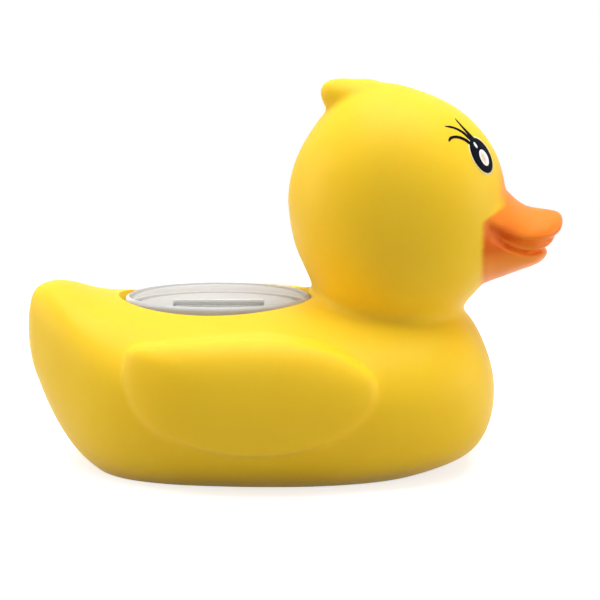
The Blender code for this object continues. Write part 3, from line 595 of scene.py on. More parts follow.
@dataclass(frozen=True)
class RubberFinish:
    """Soft dark silicone, dusted with talc. Sizes are in millimetres."""

    name: str = "silicone_seal"
    colour: Colour = (0.075, 0.077, 0.08)
    dust: Colour = (0.20, 0.20, 0.195)
    patch: float = 1.6
    grain: float = 0.3
    relief: float = 0.02
    roughness: float = 0.6

    def material(self) -> bpy.types.Material:
        """The rubber, with its dust in patches."""
        g = Graph(self.name)
        dusty = g.noise(self.patch, 5.0).step(0.5, 0.8)
        return g.surface(
            {
                "Base Color": g.mix(dusty, self.colour, self.dust),
                "Roughness": self.roughness + dusty * 0.25,
                "Normal": g.bump(g.noise(self.grain, 3.0), self.relief),
            }
        )


@dataclass(frozen=True)
class DisplayFinish:
    """A grey liquid-crystal display that is switched off, with its darker sealed edge.

    Sizes are in millimetres.
    """

    middle: float  # of the glass along the duck
    length: float
    width: float
    grey: Colour = (0.300, 0.312, 0.285)
    pale: Colour = (0.335, 0.345, 0.32)
    edge: Colour = (0.20, 0.21, 0.195)
    border: float = 1.7  # width of the sealed edge
    border_fade: float = 0.3
    cloud: float = 7.0
    grain: float = 0.4
    roughness: float = 0.22

    def material(self) -> bpy.types.Material:
        """Polarising film over grey glass, with a narrow dark border."""
        g = Graph("display_film")
        x, y, _ = g.axes()
        fade = (0.0, self.border_fade)
        side = ((x - self.middle).size() - self.length / 2 + self.border).step(*fade)
        end = (y.size() - self.width / 2 + self.border).step(*fade)
        border = side.most(end)
        cloud = g.noise(self.cloud, 2.0).step(0.3, 0.7)
        film = g.mix(cloud * 0.5, self.grey, self.pale)
        return g.surface(
            {
                "Base Color": g.mix(border, film, self.edge),
                "Roughness": self.roughness + g.noise(self.grain, 2.0) * 0.1,
                "Coat Weight": 0.4 + cloud * 0.2,
                "Coat Roughness": 0.06,
            }
        )


@dataclass(frozen=True)
class SteelFinish:
    """Stainless or plated steel with the marks of how it was worked. Sizes are in millimetres."""

    name: str
    working: Working
    along: float = 0.0  # of a turned piece's axis
    across: float = 0.0
    light: Colour = (0.70, 0.69, 0.67)
    dark: Colour = (0.52, 0.51, 0.50)
    turned_mark: float = 0.22
    rolled_mark: float = 0.3
    drawn_mark: float = 0.4
    stain: float = 3.0
    relief: float = 0.008
    roughness: float = 0.20

    def material(self) -> bpy.types.Material:
        """The steel, with fine rings, lines or a drawn sheen."""
        g = Graph(self.name)
        if self.working is Working.TURNED:
            ring = g.radius(self.along, self.across)
            _, _, z = g.axes()
            pair = g.node("ShaderNodeCombineXYZ", inputs={0: ring, 1: z, 2: 0.0})
            at = Socket(g, pair.outputs[0])
            marks = g.noise(self.turned_mark, 3.0, at)
        elif self.working is Working.ROLLED:
            marks = g.noise(self.rolled_mark, 3.0, g.stretched((0.15, 3.0, 1.0)))
        else:
            marks = g.noise(self.drawn_mark, 3.0, g.stretched((2.0, 2.0, 0.2)))
        stain = g.noise(self.stain, 4.0).step(0.4, 0.8)
        return g.surface(
            {
                "Base Color": g.mix((marks * 0.6 + stain * 0.4).least(1.0), self.light, self.dark),
                "Metallic": 1.0,
                "Roughness": self.roughness + marks * 0.18 + stain * 0.08,
                "Normal": g.bump(marks, self.relief),
            }
        )


@dataclass(frozen=True)
class BoardFinish:
    """Green circuit board, with copper tracks under its mask and tinned pads.

    Sizes are in millimetres.
    """

    mask: Colour = (0.015, 0.17, 0.06)
    track: Colour = (0.04, 0.29, 0.11)
    pad: Colour = (0.66, 0.66, 0.62)
    track_density: float = 0.9  # tracks to the millimetre
    track_edge: Point = (0.25, 0.30)
    bend: float = 5.0  # how far the tracks wander
    bend_size: float = 6.0
    pad_pitch: float = 1.9
    pad_edge: Point = (0.16, 0.19)
    grain: float = 0.5
    relief: float = 0.04
    roughness: float = 0.32

    def material(self) -> bpy.types.Material:
        """Solder mask over a grid of tracks, with rows of pads."""
        g = Graph("solder_mask")
        x, y, _ = g.axes()
        bend = (g.noise(self.bend_size, 0.0) - 0.5) * self.bend
        line = ((x + bend) * self.track_density).fraction()
        tracks = (line - 0.5).size().step(*self.track_edge)
        pads = 1 - g.cells(self.pad_pitch).step(*self.pad_edge)
        colour = g.mix(pads, g.mix(tracks, self.mask, self.track), self.pad)
        return g.surface(
            {
                "Base Color": colour,
                "Metallic": pads * 0.9,
                "Roughness": self.roughness + pads * 0.1 + g.noise(self.grain, 2.0) * 0.1,
                "Normal": g.bump(tracks * 0.6 + pads * 0.4, self.relief),
            }
        )


@dataclass(frozen=True)
class ResinFinish:
    """Black potting resin, glossy and faintly wrinkled. Sizes are in millimetres."""

    name: str = "potting_resin"
    colour: Colour = (0.012, 0.012, 0.013)
    bloom: Colour = (0.045, 0.045, 0.05)
    wrinkle: float = 0.9
    relief: float = 0.05
    roughness: float = 0.16

    def material(self) -> bpy.types.Material:
        """The cured resin."""
        g = Graph(self.name)
        skin = g.noise(self.wrinkle, 3.0)
        return g.surface(
            {
                "Base Color": g.mix(skin.step(0.5, 0.8), self.colour, self.bloom),
                "Roughness": self.roughness + skin * 0.2,
                "Normal": g.bump(skin, self.relief),
                "Coat Roughness": 0.1,
            }
        )


@dataclass(frozen=True)
class LampFinish:
    """Red tinted lamp body. Sizes are in millimetres."""

    colour: Colour = (0.62, 0.02, 0.015)
    core: Colour = (0.85, 0.10, 0.07)
    streak: float = 0.5
    light_depth: float = 0.6  # how far light goes in
    roughness: float = 0.1

    def material(self) -> bpy.types.Material:
        """Tinted epoxy, paler in soft streaks."""
        g = Graph("lamp_epoxy")
        streak = g.noise(self.streak, 2.0)
        return g.surface(
            {
                "Base Color": g.mix(streak.step(0.4, 0.7), self.colour, self.core),
                "Roughness": self.roughness + streak * 0.1,
                "Subsurface Weight": 0.4,
                "Subsurface Radius": (1.0, 0.1, 0.1),
                "Subsurface Scale": self.light_depth * MM,
            }
        )


# Mesh work


def settled() -> bpy.types.Depsgraph:
    """The scene as it stands, with every modifier worked out."""
    graph = bpy.context.evaluated_depsgraph_get()
    graph.update()
    return graph


class Workshop:
    """Makes meshes into objects, and puts modifiers to work on them."""

    @staticmethod
    def new_object(name: str, bm: bmesh.types.BMesh) -> bpy.types.Object:
        """Turns a finished bmesh into an object with smooth faces.

        Args:
            name: The piece's name.
            bm: Its mesh, which is freed.

        Returns:
            The object, at the origin.
        """
        mesh = bpy.data.meshes.new(name)
        bm.to_mesh(mesh)
        bm.free()
        mesh.shade_smooth()
        made = bpy.data.objects.new(name, mesh)
        bpy.context.scene.collection.objects.link(made)
        return made

    @staticmethod
    def applied(obj: bpy.types.Object) -> bpy.types.Object:
        """Replaces the object's mesh by what its modifiers make of it, and returns the object."""
        mesh = bpy.data.meshes.new_from_object(obj.evaluated_get(settled()))
        obj.modifiers.clear()
        obj.data = mesh
        return obj

    @staticmethod
    def combined(
        target: bpy.types.Object, other: bpy.types.Object, cut: Cut
    ) -> bpy.types.Object:
        """Joins or cuts with a second form, which goes.

        Args:
            target: The form that stays.
            other: The second form.
            cut: What is done with it.

        Returns:
            The first form.
        """
        step = target.modifiers.new("cut", "BOOLEAN")
        step.operation = cut.value
        step.solver = "MANIFOLD"
        step.object = other
        Workshop.applied(target)
        bpy.data.objects.remove(other)
        return target

    @staticmethod
    def cut(target: bpy.types.Object, *cutters: bpy.types.Object) -> bpy.types.Object:
        """Takes each cutter out of a form, and returns the form."""
        for cutter in cutters:
            Workshop.combined(target, cutter, Cut.TAKE)
        return target

    @staticmethod
    def shaded(obj: bpy.types.Object, crease: float) -> bpy.types.Object:
        """Shades a form smoothly, with its sharp edges kept.

        Args:
            obj: The form.
            crease: The angle in degrees from which an edge is sharp.

        Returns:
            The same form.
        """
        obj.data.shade_smooth()
        obj.data.set_sharp_from_angle(angle=math.radians(crease))
        return obj

    @staticmethod
    def without_slivers(obj: bpy.types.Object, least: float = 0.002 * MM) -> bpy.types.Object:
        """Splits a cut form into triangles, and drops the slivers that the cuts left.

        Args:
            obj: The form.
            least: Edges and faces thinner than this go.

        Returns:
            The same form.
        """
        bm = bmesh.new()
        bm.from_mesh(obj.data)
        bmesh.ops.triangulate(bm, faces=bm.faces)
        bmesh.ops.dissolve_degenerate(bm, dist=least, edges=bm.edges)
        bmesh.ops.triangulate(bm, faces=bm.faces)
        bm.to_mesh(obj.data)
        bm.free()
        return obj

    @staticmethod
    def soft(obj: bpy.types.Object, grid: float, blend: float) -> bpy.types.Object:
        """Makes one closed skin of overlapping forms, with soft valleys between them.

        Args:
            obj: The forms, as one object.
            grid: How finely the skin is made.
            blend: How far the valleys are softened.

        Returns:
            The object.
        """
        remesh = obj.modifiers.new("fuse", "REMESH")
        remesh.mode = "VOXEL"
        remesh.voxel_size = grid
        Workshop.smoothing(obj, grid, blend)
        return Workshop.applied(obj)

    @staticmethod
    def smoothing(obj: bpy.types.Object, grid: float, blend: float) -> bpy.types.Modifier:
        """Adds the smoothing that softens a form's valleys.

        Args:
            obj: The form.
            grid: How far apart its vertices are.
            blend: How far the valleys are softened.

        Returns:
            The smoothing, not yet applied.
        """
        smooth = obj.modifiers.new("blend", "SMOOTH")
        smooth.factor = 0.5
        smooth.iterations = max(1, round((blend / grid) ** 2))
        return smooth

    @staticmethod
    def gathered(name: str, pieces: Iterable[bpy.types.Object]) -> bpy.types.Object:
        """One object with the meshes of all the pieces, which go.

        Args:
            name: The new object's name.
            pieces: The pieces.

        Returns:
            The new object.
        """
        bm = bmesh.new()
        for piece in pieces:
            bm.from_mesh(piece.data)
            bpy.data.objects.remove(piece)
        return Workshop.new_object(name, bm)

    @staticmethod
    def lathe(
        name: str,
        profile: Sequence[Point],
        middle: Point,
        ratio: float = 1.0,
        steps: int = 96,
    ) -> bpy.types.Object:
        """A profile of (radius, height) turned round an upright axis, from the top down outside.

        Args:
            name: The piece's name.
            profile: Its points; a radius of 0 closes it on the axis.
            middle: X and Y of the axis.
            ratio: Width over length, for an oval.
            steps: How many faces go round.

        Returns:
            The object.
        """
        bm = bmesh.new()
        rings: list[list[bmesh.types.BMVert]] = []
        for radius, height in profile:
            around = 1 if radius == 0 else steps
            ring = []
            for i in range(around):
                angle = 2 * math.pi * i / steps
                x = middle[0] + radius * math.cos(angle)
                y = middle[1] + radius * ratio * math.sin(angle)
                ring.append(bm.verts.new((x, y, height)))
            rings.append(ring)
        for first, second in zip(rings, rings[1:]):
            for i in range(steps):
                j = (i + 1) % steps
                corners = [first[i % len(first)], first[j % len(first)]]
                corners += [second[j % len(second)], second[i % len(second)]]
                bm.faces.new(list(dict.fromkeys(corners)))
        bmesh.ops.recalc_face_normals(bm, faces=bm.faces)
        return Workshop.shaded(Workshop.new_object(name, bm), TURNED_CREASE)

    @staticmethod
    def prism(
        name: str, outline: Sequence[Point], bottom: float, top: float, flare: float = 0.0
    ) -> bpy.types.Object:
        """An upright prism on an outline of (x, y) points, whose top may flare outwards.

        Args:
            name: The piece's name.
            outline: Its corners, in order.
            bottom: Height of its underside.
            top: Height of its top.
            flare: How much further out the top's corners are.

        Returns:
            The object.
        """
        bm = bmesh.new()
        centre = np.mean(outline, axis=0)
        rows = []
        for height, extra in ((bottom, 0.0), (top, flare)):
            ring = []
            for x, y in outline:
                out_x = math.copysign(extra, x - centre[0])
                out_y = math.copysign(extra, y - centre[1])
                ring.append(bm.verts.new((x + out_x, y + out_y, height)))
            rows.append(ring)
        count = len(outline)
        for i in range(count):
            j = (i + 1) % count
            bm.faces.new((rows[0][i], rows[0][j], rows[1][j], rows[1][i]))
        bm.faces.new(rows[0])
        bm.faces.new(rows[1])
        bmesh.ops.recalc_face_normals(bm, faces=bm.faces)
        return Workshop.new_object(name, bm)

    @staticmethod
    def finish(
        obj: bpy.types.Object, finish: bpy.types.Material, slot: str, *nodes: str
    ) -> bpy.types.Object:
        """Gives a new piece its material and its place in the frame.

        Args:
            obj: The piece.
            finish: Its material.
            slot: The record's material slot; not used.
            nodes: The CAD nodes that it stands for.

        Returns:
            The piece.
        """
        obj.data.materials.clear()
        obj.data.materials.append(finish)
        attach(obj, "root")
        if nodes:
            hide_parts(*nodes)
        return obj

    @staticmethod
    def dress(finish: bpy.types.Material, *nodes: str) -> None:
        """Gives carried-over CAD nodes their material.

        Args:
            finish: The material.
            nodes: The nodes' names.
        """
        for name in nodes:
            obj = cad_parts[name]
            obj.data.materials.clear()
            obj.data.materials.append(finish)
            log.info("dressed %s", name)


class Curves:
    """Smooth curves through chosen points."""

    @staticmethod
    def spline(rows: Sequence[Row] | np.ndarray, steps: int) -> np.ndarray:
        """Points on a Catmull-Rom curve.

        Args:
            rows: Its points, the first and last of which only steer it.
            steps: How many points each span gets.

        Returns:
            The points as an array.
        """
        rows = np.asarray(rows, float)
        samples = []
        for i in range(1, len(rows) - 2):
            before, start, end, after = rows[i - 1 : i + 3]
            for t in np.arange(steps) / steps:
                bend = 2 * before - 5 * start + 4 * end - after
                twist = 3 * start - before - 3 * end + after
                samples.append(0.5 * (2 * start + (end - before) * t + bend * t**2 + twist * t**3))
        samples.append(rows[-2])
        return np.array(samples)

    @staticmethod
    def power(value: float, exponent: float) -> float:
        """The value's size raised to a power, with its sign kept."""
        return math.copysign(abs(value) ** exponent, value)

    @staticmethod
    def arc(radius: float, rise: float, base: float, steps: int) -> list[Point]:
        """A quarter oval from its crown down to its edge.

        Args:
            radius: Its reach.
            rise: Its height.
            base: The height of its edge.
            steps: How many spans it has.

        Returns:
            Its (radius, height) points.
        """
        angles = [math.pi / 2 * i / steps for i in range(steps + 1)]
        return [(radius * math.sin(a), base + rise * math.cos(a)) for a in angles]


@dataclass(frozen=True)
class Form:
    """A closed soft form through oval sections, in millimetres.

    Each section is (station, underside, widest line, top, half width). An upright form runs up,
    and then its sections are (height, back, widest line, front, half width).
    """

    name: str
    table: tuple[Row, ...]
    roundness: Point = (2.0, 2.0)  # below and above the widest line: 2 is an ellipse
    upright: bool = False

    def curve(self, inset: float = 0.0, steps: int = 6) -> np.ndarray:
        """Its sections, close together.

        Args:
            inset: How far the form is drawn in.
            steps: How many sections each span gets.

        Returns:
            The sections in metres, each (station, widest line, reach below it, reach above it,
            half width).
        """
        table = np.asarray(self.table, float) * MM
        columns = [table[:, 0], table[:, 2], table[:, 2] - table[:, 1]]
        columns += [table[:, 3] - table[:, 2], table[:, 4]]
        rows = np.stack(columns, axis=1)
        turned = np.array([1, 1, -1, -1, -1])
        curve = Curves.spline(np.vstack([rows[1] * turned, rows, rows[-2] * turned]), steps)
        if inset:
            middle = (curve[0, 0] + curve[-1, 0]) / 2
            length = abs(curve[-1, 0] - curve[0, 0])
            curve[:, 0] = middle + (curve[:, 0] - middle) * (1 - 2 * inset / length)
            for column in (2, 3, 4):
                largest = curve[:, column].max()
                curve[:, column] *= (largest - inset) / largest
        return curve

    def build(self, middle: float, inset: float = 0.0, sides: int = 72) -> bpy.types.Object:
        """Makes the form's mesh.

        Args:
            middle: The station of the origin.
            inset: How far the form is drawn in.
            sides: How many faces go round it.

        Returns:
            The object.
        """
        curve = self.curve(inset)
        bm = bmesh.new()

        def vertex(station: float, y: float, across: float) -> bmesh.types.BMVert:
            """A vertex at this place on the form."""
            if self.upright:
                return bm.verts.new((across - middle, y, station))
            return bm.verts.new((station - middle, y, across))

        rings = []
        for station, centre, low, high, half in curve[1:-1]:
            ring = []
            for i in range(sides):
                angle = 2 * math.pi * i / sides
                side, rise = math.cos(angle), math.sin(angle)
                reach, by = (high, self.roundness[1]) if rise >= 0 else (low, self.roundness[0])
                y = half * Curves.power(side, 2 / by)
                ring.append(vertex(station, y, centre + reach * Curves.power(rise, 2 / by)))
            rings.append(ring)
        for first, second in zip(rings, rings[1:]):
            for i in range(sides):
                j = (i + 1) % sides
                bm.faces.new((first[i], first[j], second[j], second[i]))
        for end, ring in ((curve[0], rings[0]), (curve[-1], rings[-1])):
            tip = vertex(end[0], 0.0, end[1])
            for i in range(sides):
                bm.faces.new((ring[i], ring[(i + 1) % sides], tip))
        bmesh.ops.recalc_face_normals(bm, faces=bm.faces)
        return Workshop.new_object(self.name, bm)


# Sub-assemblies


@dataclass
class Capsule:
    """The outer sizes of the white capsule that stands in the duck."""

    axis: float = -18.9 * MM  # along X
    lens_length: float = 46.0 * MM
    lens_width: float = 35.6 * MM
    flange_reach: float = 3.0 * MM
    seat: float = 36.1 * MM
    slip: float = 0.4 * MM

    @property
    def ratio(self) -> float:
        """Width of the lens over its length."""
        return self.lens_width / self.lens_length

    @property
    def length(self) -> float:
        """Length of the case below the flange."""
        return self.lens_length - 2 * self.flange_reach

    @property
    def width(self) -> float:
        """Width of the case below the flange."""
        return self.lens_width - 2 * self.flange_reach


BODY = Form(
    "body",
    (
        (-0.1, 33.0, 33.0, 33.0, 0.0),
        (1.0, 24.5, 33.0, 41.6, 6.2),
        (3.0, 19.3, 32.0, 43.4, 10.2),
        (6.2, 12.2, 30.0, 44.4, 15.4),
        (11.0, 5.0, 26.5, 43.7, 21.8),
        (17.0, -0.4, 23.0, 41.5, 28.4),
        (24.5, -3.6, 20.5, 40.8, 34.0),
        (35.0, -4.7, 19.5, 40.6, 38.8),
        (47.0, -5.0, 19.0, 40.7, 41.0),
        (60.0, -5.0, 18.5, 40.9, 41.8),
        (73.0, -4.5, 18.0, 41.0, 41.2),
        (86.0, -3.0, 17.5, 40.6, 38.8),
        (96.5, -0.8, 17.0, 39.8, 34.8),
        (104.2, 1.6, 16.8, 38.2, 29.6),
        (108.8, 4.0, 17.0, 34.6, 24.4),
        (111.9, 7.6, 17.5, 29.0, 18.4),
        (113.9, 12.6, 18.0, 23.2, 10.5),
        (114.6, 18.2, 18.2, 18.2, 0.0),
    ),
    (2.6, 2.25),
)
HEAD = Form(
    "head",
    (
        (24.0, 90.0, 90.0, 90.0, 0.0),
        (27.0, 81.0, 90.0, 99.0, 9.0),
        (32.0, 76.0, 90.0, 104.0, 14.5),
        (36.0, 73.2, 90.0, 105.8, 18.0),
        (39.5, 71.8, 90.0, 107.0, 20.6),
        (43.2, 70.3, 90.0, 110.6, 22.8),
        (47.7, 68.4, 90.0, 114.0, 24.8),
        (53.6, 65.8, 90.0, 116.4, 26.4),
        (59.6, 64.6, 90.0, 117.2, 27.1),
        (65.5, 64.1, 90.0, 117.2, 26.9),
        (71.4, 65.0, 90.0, 116.2, 25.8),
        (77.4, 67.3, 89.5, 113.9, 23.6),
        (83.2, 70.9, 89.0, 109.5, 20.0),
        (87.7, 74.6, 88.5, 103.9, 15.4),
        (90.9, 78.4, 87.5, 96.8, 10.0),
        (92.7, 81.6, 86.5, 91.0, 5.4),
        (93.4, 86.0, 86.0, 86.0, 0.0),
    ),
    upright=True,
)
TUFT = Form(
    "tuft",
    (
        (71.8, 91.4, 91.4, 91.4, 0.0),
        (72.4, 88.6, 91.0, 93.2, 2.2),
        (74.6, 86.2, 90.2, 94.4, 3.8),
        (79.5, 83.6, 88.8, 94.5, 6.0),
        (87.0, 80.6, 86.8, 93.3, 8.0),
        (94.0, 84.0, 84.0, 84.0, 0.0),
    ),
)
BILL_ROOT = Form(
    "bill_root",
    (
        (101.0, 56.0, 56.0, 56.0, 0.0),
        (105.0, 45.4, 56.6, 66.6, 17.4),
        (109.4, 44.2, 57.0, 67.2, 17.8),
        (112.2, 44.4, 57.0, 66.6, 16.6),
        (114.2, 46.2, 57.0, 65.0, 14.6),
        (115.6, 49.6, 57.0, 62.4, 11.2),
        (116.4, 57.0, 57.0, 57.0, 0.0),
    ),
)
UPPER_BILL = Form(
    "upper_bill",
    (
        (100.0, 63.0, 63.0, 63.0, 0.0),
        (104.0, 60.6, 62.2, 69.0, 16.5),
        (109.5, 60.8, 62.4, 70.2, 17.5),
        (113.5, 59.4, 60.7, 69.6, 16.2),
        (116.7, 57.8, 59.0, 67.8, 14.8),
        (119.7, 56.5, 57.7, 64.9, 13.7),
        (122.5, 55.9, 57.1, 63.1, 12.8),
        (125.5, 55.9, 57.1, 62.5, 11.6),
        (128.3, 56.2, 57.6, 62.1, 9.3),
        (130.4, 57.2, 58.6, 61.5, 5.6),
        (131.3, 59.6, 59.6, 59.6, 0.0),
    ),
    (2.0, 1.7),
)
LIP = Form(
    "lip",
    (
        (100.0, 60.0, 60.0, 60.0, 0.0),
        (104.0, 57.6, 59.2, 63.0, 15.5),
        (110.5, 58.2, 59.6, 63.0, 16.6),
        (113.5, 57.0, 58.4, 62.0, 15.5),
        (116.7, 54.9, 56.2, 60.0, 14.1),
        (120.5, 53.4, 54.7, 59.0, 12.6),
        (124.5, 53.1, 54.4, 59.0, 10.8),
        (127.4, 53.8, 55.1, 58.5, 7.7),
        (129.0, 55.2, 56.3, 58.2, 4.0),
        (129.6, 56.8, 56.8, 56.8, 0.0),
    ),
)
LOWER_BILL = Form(
    "lower_bill",
    (
        (100.0, 50.0, 50.0, 50.0, 0.0),
        (104.0, 43.6, 55.4, 59.6, 16.4),
        (110.8, 43.9, 56.8, 58.9, 17.2),
        (113.7, 44.9, 56.4, 57.9, 16.0),
        (116.7, 46.0, 54.4, 55.6, 14.3),
        (120.5, 47.5, 52.8, 53.8, 12.4),
        (124.2, 48.9, 52.2, 53.2, 10.0),
        (126.5, 50.2, 52.2, 53.1, 6.2),
        (127.6, 51.9, 51.9, 51.9, 0.0),
    ),
    (2.0, 2.6),
)
WING_OUTLINE: tuple[Point, ...] = (
    (26.0, 33.4),
    (33.5, 35.2),
    (43.4, 36.2),
    (58.0, 37.0),
    (72.0, 35.2),
    (82.0, 30.0),
    (84.6, 25.2),
    (82.0, 18.6),
    (71.5, 12.0),
    (55.0, 9.8),
    (40.1, 12.0),
    (29.8, 17.0),
    (25.6, 25.0),
)


@dataclass
class Duck:
    """The vinyl duck: one hollow piece with its wings and bill, and a well for the capsule."""

    capsule: Capsule
    middle: float = 65.6 * MM  # station of the origin
    wall: float = 2.0 * MM
    grid: float = 0.9 * MM
    bill_grid: float = 0.38 * MM
    quick_grid: float = 1.3 * MM
    quick_bill_grid: float = 0.7 * MM
    cavity_grid: float = 2.4 * MM
    neck_blend: float = 5.6 * MM
    wing_blend: float = 1.6 * MM
    blend_loss: float = 0.35 * MM
    bill_blend: float = 0.55 * MM
    root_blend: float = 2.4 * MM  # how far from its root the bill runs softly into the head
    wing_swell: float = 3.6 * MM
    wing_flatness: float = 0.62
    wing_root: float = 0.7  # how far out its inner face is, as a share of the body's half width
    ledge_walls: int = 3  # how much longer and wider than the lens its ledge is, in walls
    lip: tuple[Point, ...] = ((1.5, 42.0), (0.55, 39.4), (0.15, 38.4), (0.0, 37.6))  # out, up, mm
    crease: float = 48.0  # degrees from which an edge is sharp
    far: float = 200.0 * MM  # clear of the whole duck

    def build(self) -> bpy.types.Object:
        """Makes the duck's skin, joins the bill to it and hollows it out.

        Returns:
            The duck, as one closed mesh.
        """
        duck = self._joined(self._skin(), self._bill())
        Workshop.cut(duck, self._cavity())
        Workshop.cut(duck, Workshop.prism("under", self._square(), -self.far, 0.0))
        Workshop.cut(duck, *self._wells())
        duck.name = "duck_vinyl"
        Workshop.without_slivers(duck)
        return Workshop.shaded(duck, self.crease)

    def dress(self, duck: bpy.types.Object) -> None:
        """Gives the duck its vinyl and its paint."""
        Workshop.finish(duck, VinylFinish().material(), "yellow_vinyl", "duck_shell")

    def _square(self) -> list[Point]:
        """A large square round the duck."""
        far = self.far
        return [(-far, -far), (far, -far), (far, far), (-far, far)]

    def _skin(self) -> bpy.types.Object:
        """The outer skin of body, head, tuft and wings."""
        inset = -self.blend_loss
        parts = [BODY.build(self.middle, inset), HEAD.build(self.middle, inset)]
        trunk = Workshop.gathered("trunk", parts)
        Workshop.soft(trunk, self.grid, self.neck_blend)
        wings = [self._wing(side) for side in Side]
        form = Workshop.gathered("duck", [trunk, TUFT.build(self.middle), *wings])
        return Workshop.soft(form, self.grid, self.wing_blend)

    def _bill(self) -> bpy.types.Object:
        """The bill, open in a smile, with its root sunk in the head."""
        parts = [form.build(self.middle) for form in (BILL_ROOT, UPPER_BILL, LIP, LOWER_BILL)]
        return Workshop.soft(Workshop.gathered("bill", parts), self.bill_grid, self.bill_blend)

    def _joined(self, skin: bpy.types.Object, bill: bpy.types.Object) -> bpy.types.Object:
        """Joins the bill to the head, with a soft valley round its root.

        Args:
            skin: The skin.
            bill: The bill, which goes.

        Returns:
            The skin with its bill.
        """
        graph = settled()
        trees = [BVHTree.FromObject(form, graph) for form in (skin, bill)]
        Workshop.combined(skin, bill, Cut.ADD)
        group = skin.vertex_groups.new(name="root")
        for vertex in skin.data.vertices:
            apart = 0.0
            for tree in trees:
                near = tree.find_nearest(vertex.co, self.root_blend)
                apart = max(apart, self.root_blend if near[0] is None else near[3])
            if apart < self.root_blend:
                group.add([vertex.index], 1 - apart / self.root_blend, "REPLACE")
        smooth = Workshop.smoothing(skin, self.bill_grid, self.root_blend)
        smooth.vertex_group = group.name
        Workshop.applied(skin)
        skin.vertex_groups.clear()
        return skin

    def _cavity(self) -> bpy.types.Object:
        """The hollow inside, which leaves the wall, the floor and the ledge for the capsule."""
        parts = [form.build(self.middle, self.wall, sides=36) for form in (BODY, HEAD)]
        hollow = Workshop.gathered("hollow", parts)
        Workshop.soft(hollow, self.cavity_grid, self.cavity_grid)
        c = self.capsule
        round_seat = self.ledge_walls * self.wall
        sizes = (c.lens_length + round_seat, c.lens_width + round_seat)
        ledge = self._oval("ledge", *sizes, c.seat - self.wall, self.far)
        floor = Workshop.prism("floor", self._square(), -self.far, self.wall)
        return Workshop.cut(hollow, ledge, floor)

    def _oval(
        self, name: str, length: float, width: float, bottom: float, top: float
    ) -> bpy.types.Object:
        """An upright oval form round the capsule's axis.

        Args:
            name: Its name.
            length: Its size along X.
            width: Its size along Y.
            bottom: Height of its underside.
            top: Height of its top.

        Returns:
            The form.
        """
        reach = length / 2
        profile = [(0.0, top), (reach, top), (reach, bottom), (0.0, bottom)]
        middle = (self.capsule.axis, 0.0)
        return Workshop.lathe(name, profile, middle, width / length, steps=160)

    def _wells(self) -> list[bpy.types.Object]:
        """The pocket for the lens, with a rounded lip, and the well for the capsule."""
        c = self.capsule
        room = 2 * c.slip
        reach = (c.lens_length + room) / 2
        lip = [(reach + out * MM, height * MM) for out, height in self.lip]
        profile = [(0.0, lip[0][1]), *lip, (reach, c.seat), (0.0, c.seat)]
        ratio = (c.lens_width + room) / (c.lens_length + room)
        pocket = Workshop.lathe("pocket", profile, (c.axis, 0.0), ratio, steps=160)
        well = self._oval("well", c.length + room, c.width + room, -OVER, c.seat + OVER)
        return [pocket, well]

    def _side_of_body(self, curve: np.ndarray, station: float, height: float) -> float:
        """The body's half width at a place.

        Args:
            curve: The body's sections.
            station: The place's distance from the tail.
            height: Its height.

        Returns:
            The half width in metres.
        """
        widest, low, high, half = (
            np.interp(station, curve[:, 0], curve[:, column]) for column in (1, 2, 3, 4)
        )
        reach, by = (high, BODY.roundness[1]) if height >= widest else (low, BODY.roundness[0])
        share = min(abs(height - widest) / reach, 1.0)
        return half * (1 - share**by) ** (1 / by)

    def _wing(self, side: Side) -> bpy.types.Object:
        """One wing: a pad on the body's side, proud of it all round and fuller in its middle."""
        body = BODY.curve(-self.blend_loss, steps=4)
        outline = np.array(WING_OUTLINE) * MM
        edge = Curves.spline(np.vstack([outline[-1], outline, outline[:2]]), steps=10)[:-1]
        centre = edge.mean(axis=0)
        shares = np.sin(np.linspace(0, math.pi / 2, 16)[1:])
        widest = np.interp(centre[0], body[:, 0], body[:, 1])
        bm = bmesh.new()

        def vertex(share: float, point: np.ndarray, sunk: bool) -> bmesh.types.BMVert:
            """A vertex this share of the way from the wing's middle to its edge."""
            station, height = centre + share * (point - centre)
            flattened = widest + self.wing_flatness * (height - widest)
            out = self._side_of_body(body, station, flattened)
            out += self.wing_swell * math.sqrt(1 - share**4)
            if sunk:
                out = self.wing_root * self._side_of_body(body, station, height)
            return bm.verts.new((station - self.middle, side.value * out, height))

        rims = []
        count = len(edge)
        for sunk in (False, True):
            rings = [[vertex(share, point, sunk) for point in edge] for share in shares]
            middle = vertex(0.0, centre, sunk)
            rims.append(rings[-1])
            for i in range(count):
                j = (i + 1) % count
                bm.faces.new((rings[0][i], rings[0][j], middle))
                for inner, outer in zip(rings, rings[1:]):
                    bm.faces.new((inner[i], inner[j], outer[j], outer[i]))
        for i in range(count):
            j = (i + 1) % count
            bm.faces.new((rims[0][i], rims[0][j], rims[1][j], rims[1][i]))
        bmesh.ops.recalc_face_normals(bm, faces=bm.faces)
        return Workshop.new_object(f"wing_{side.name.lower()}", bm)


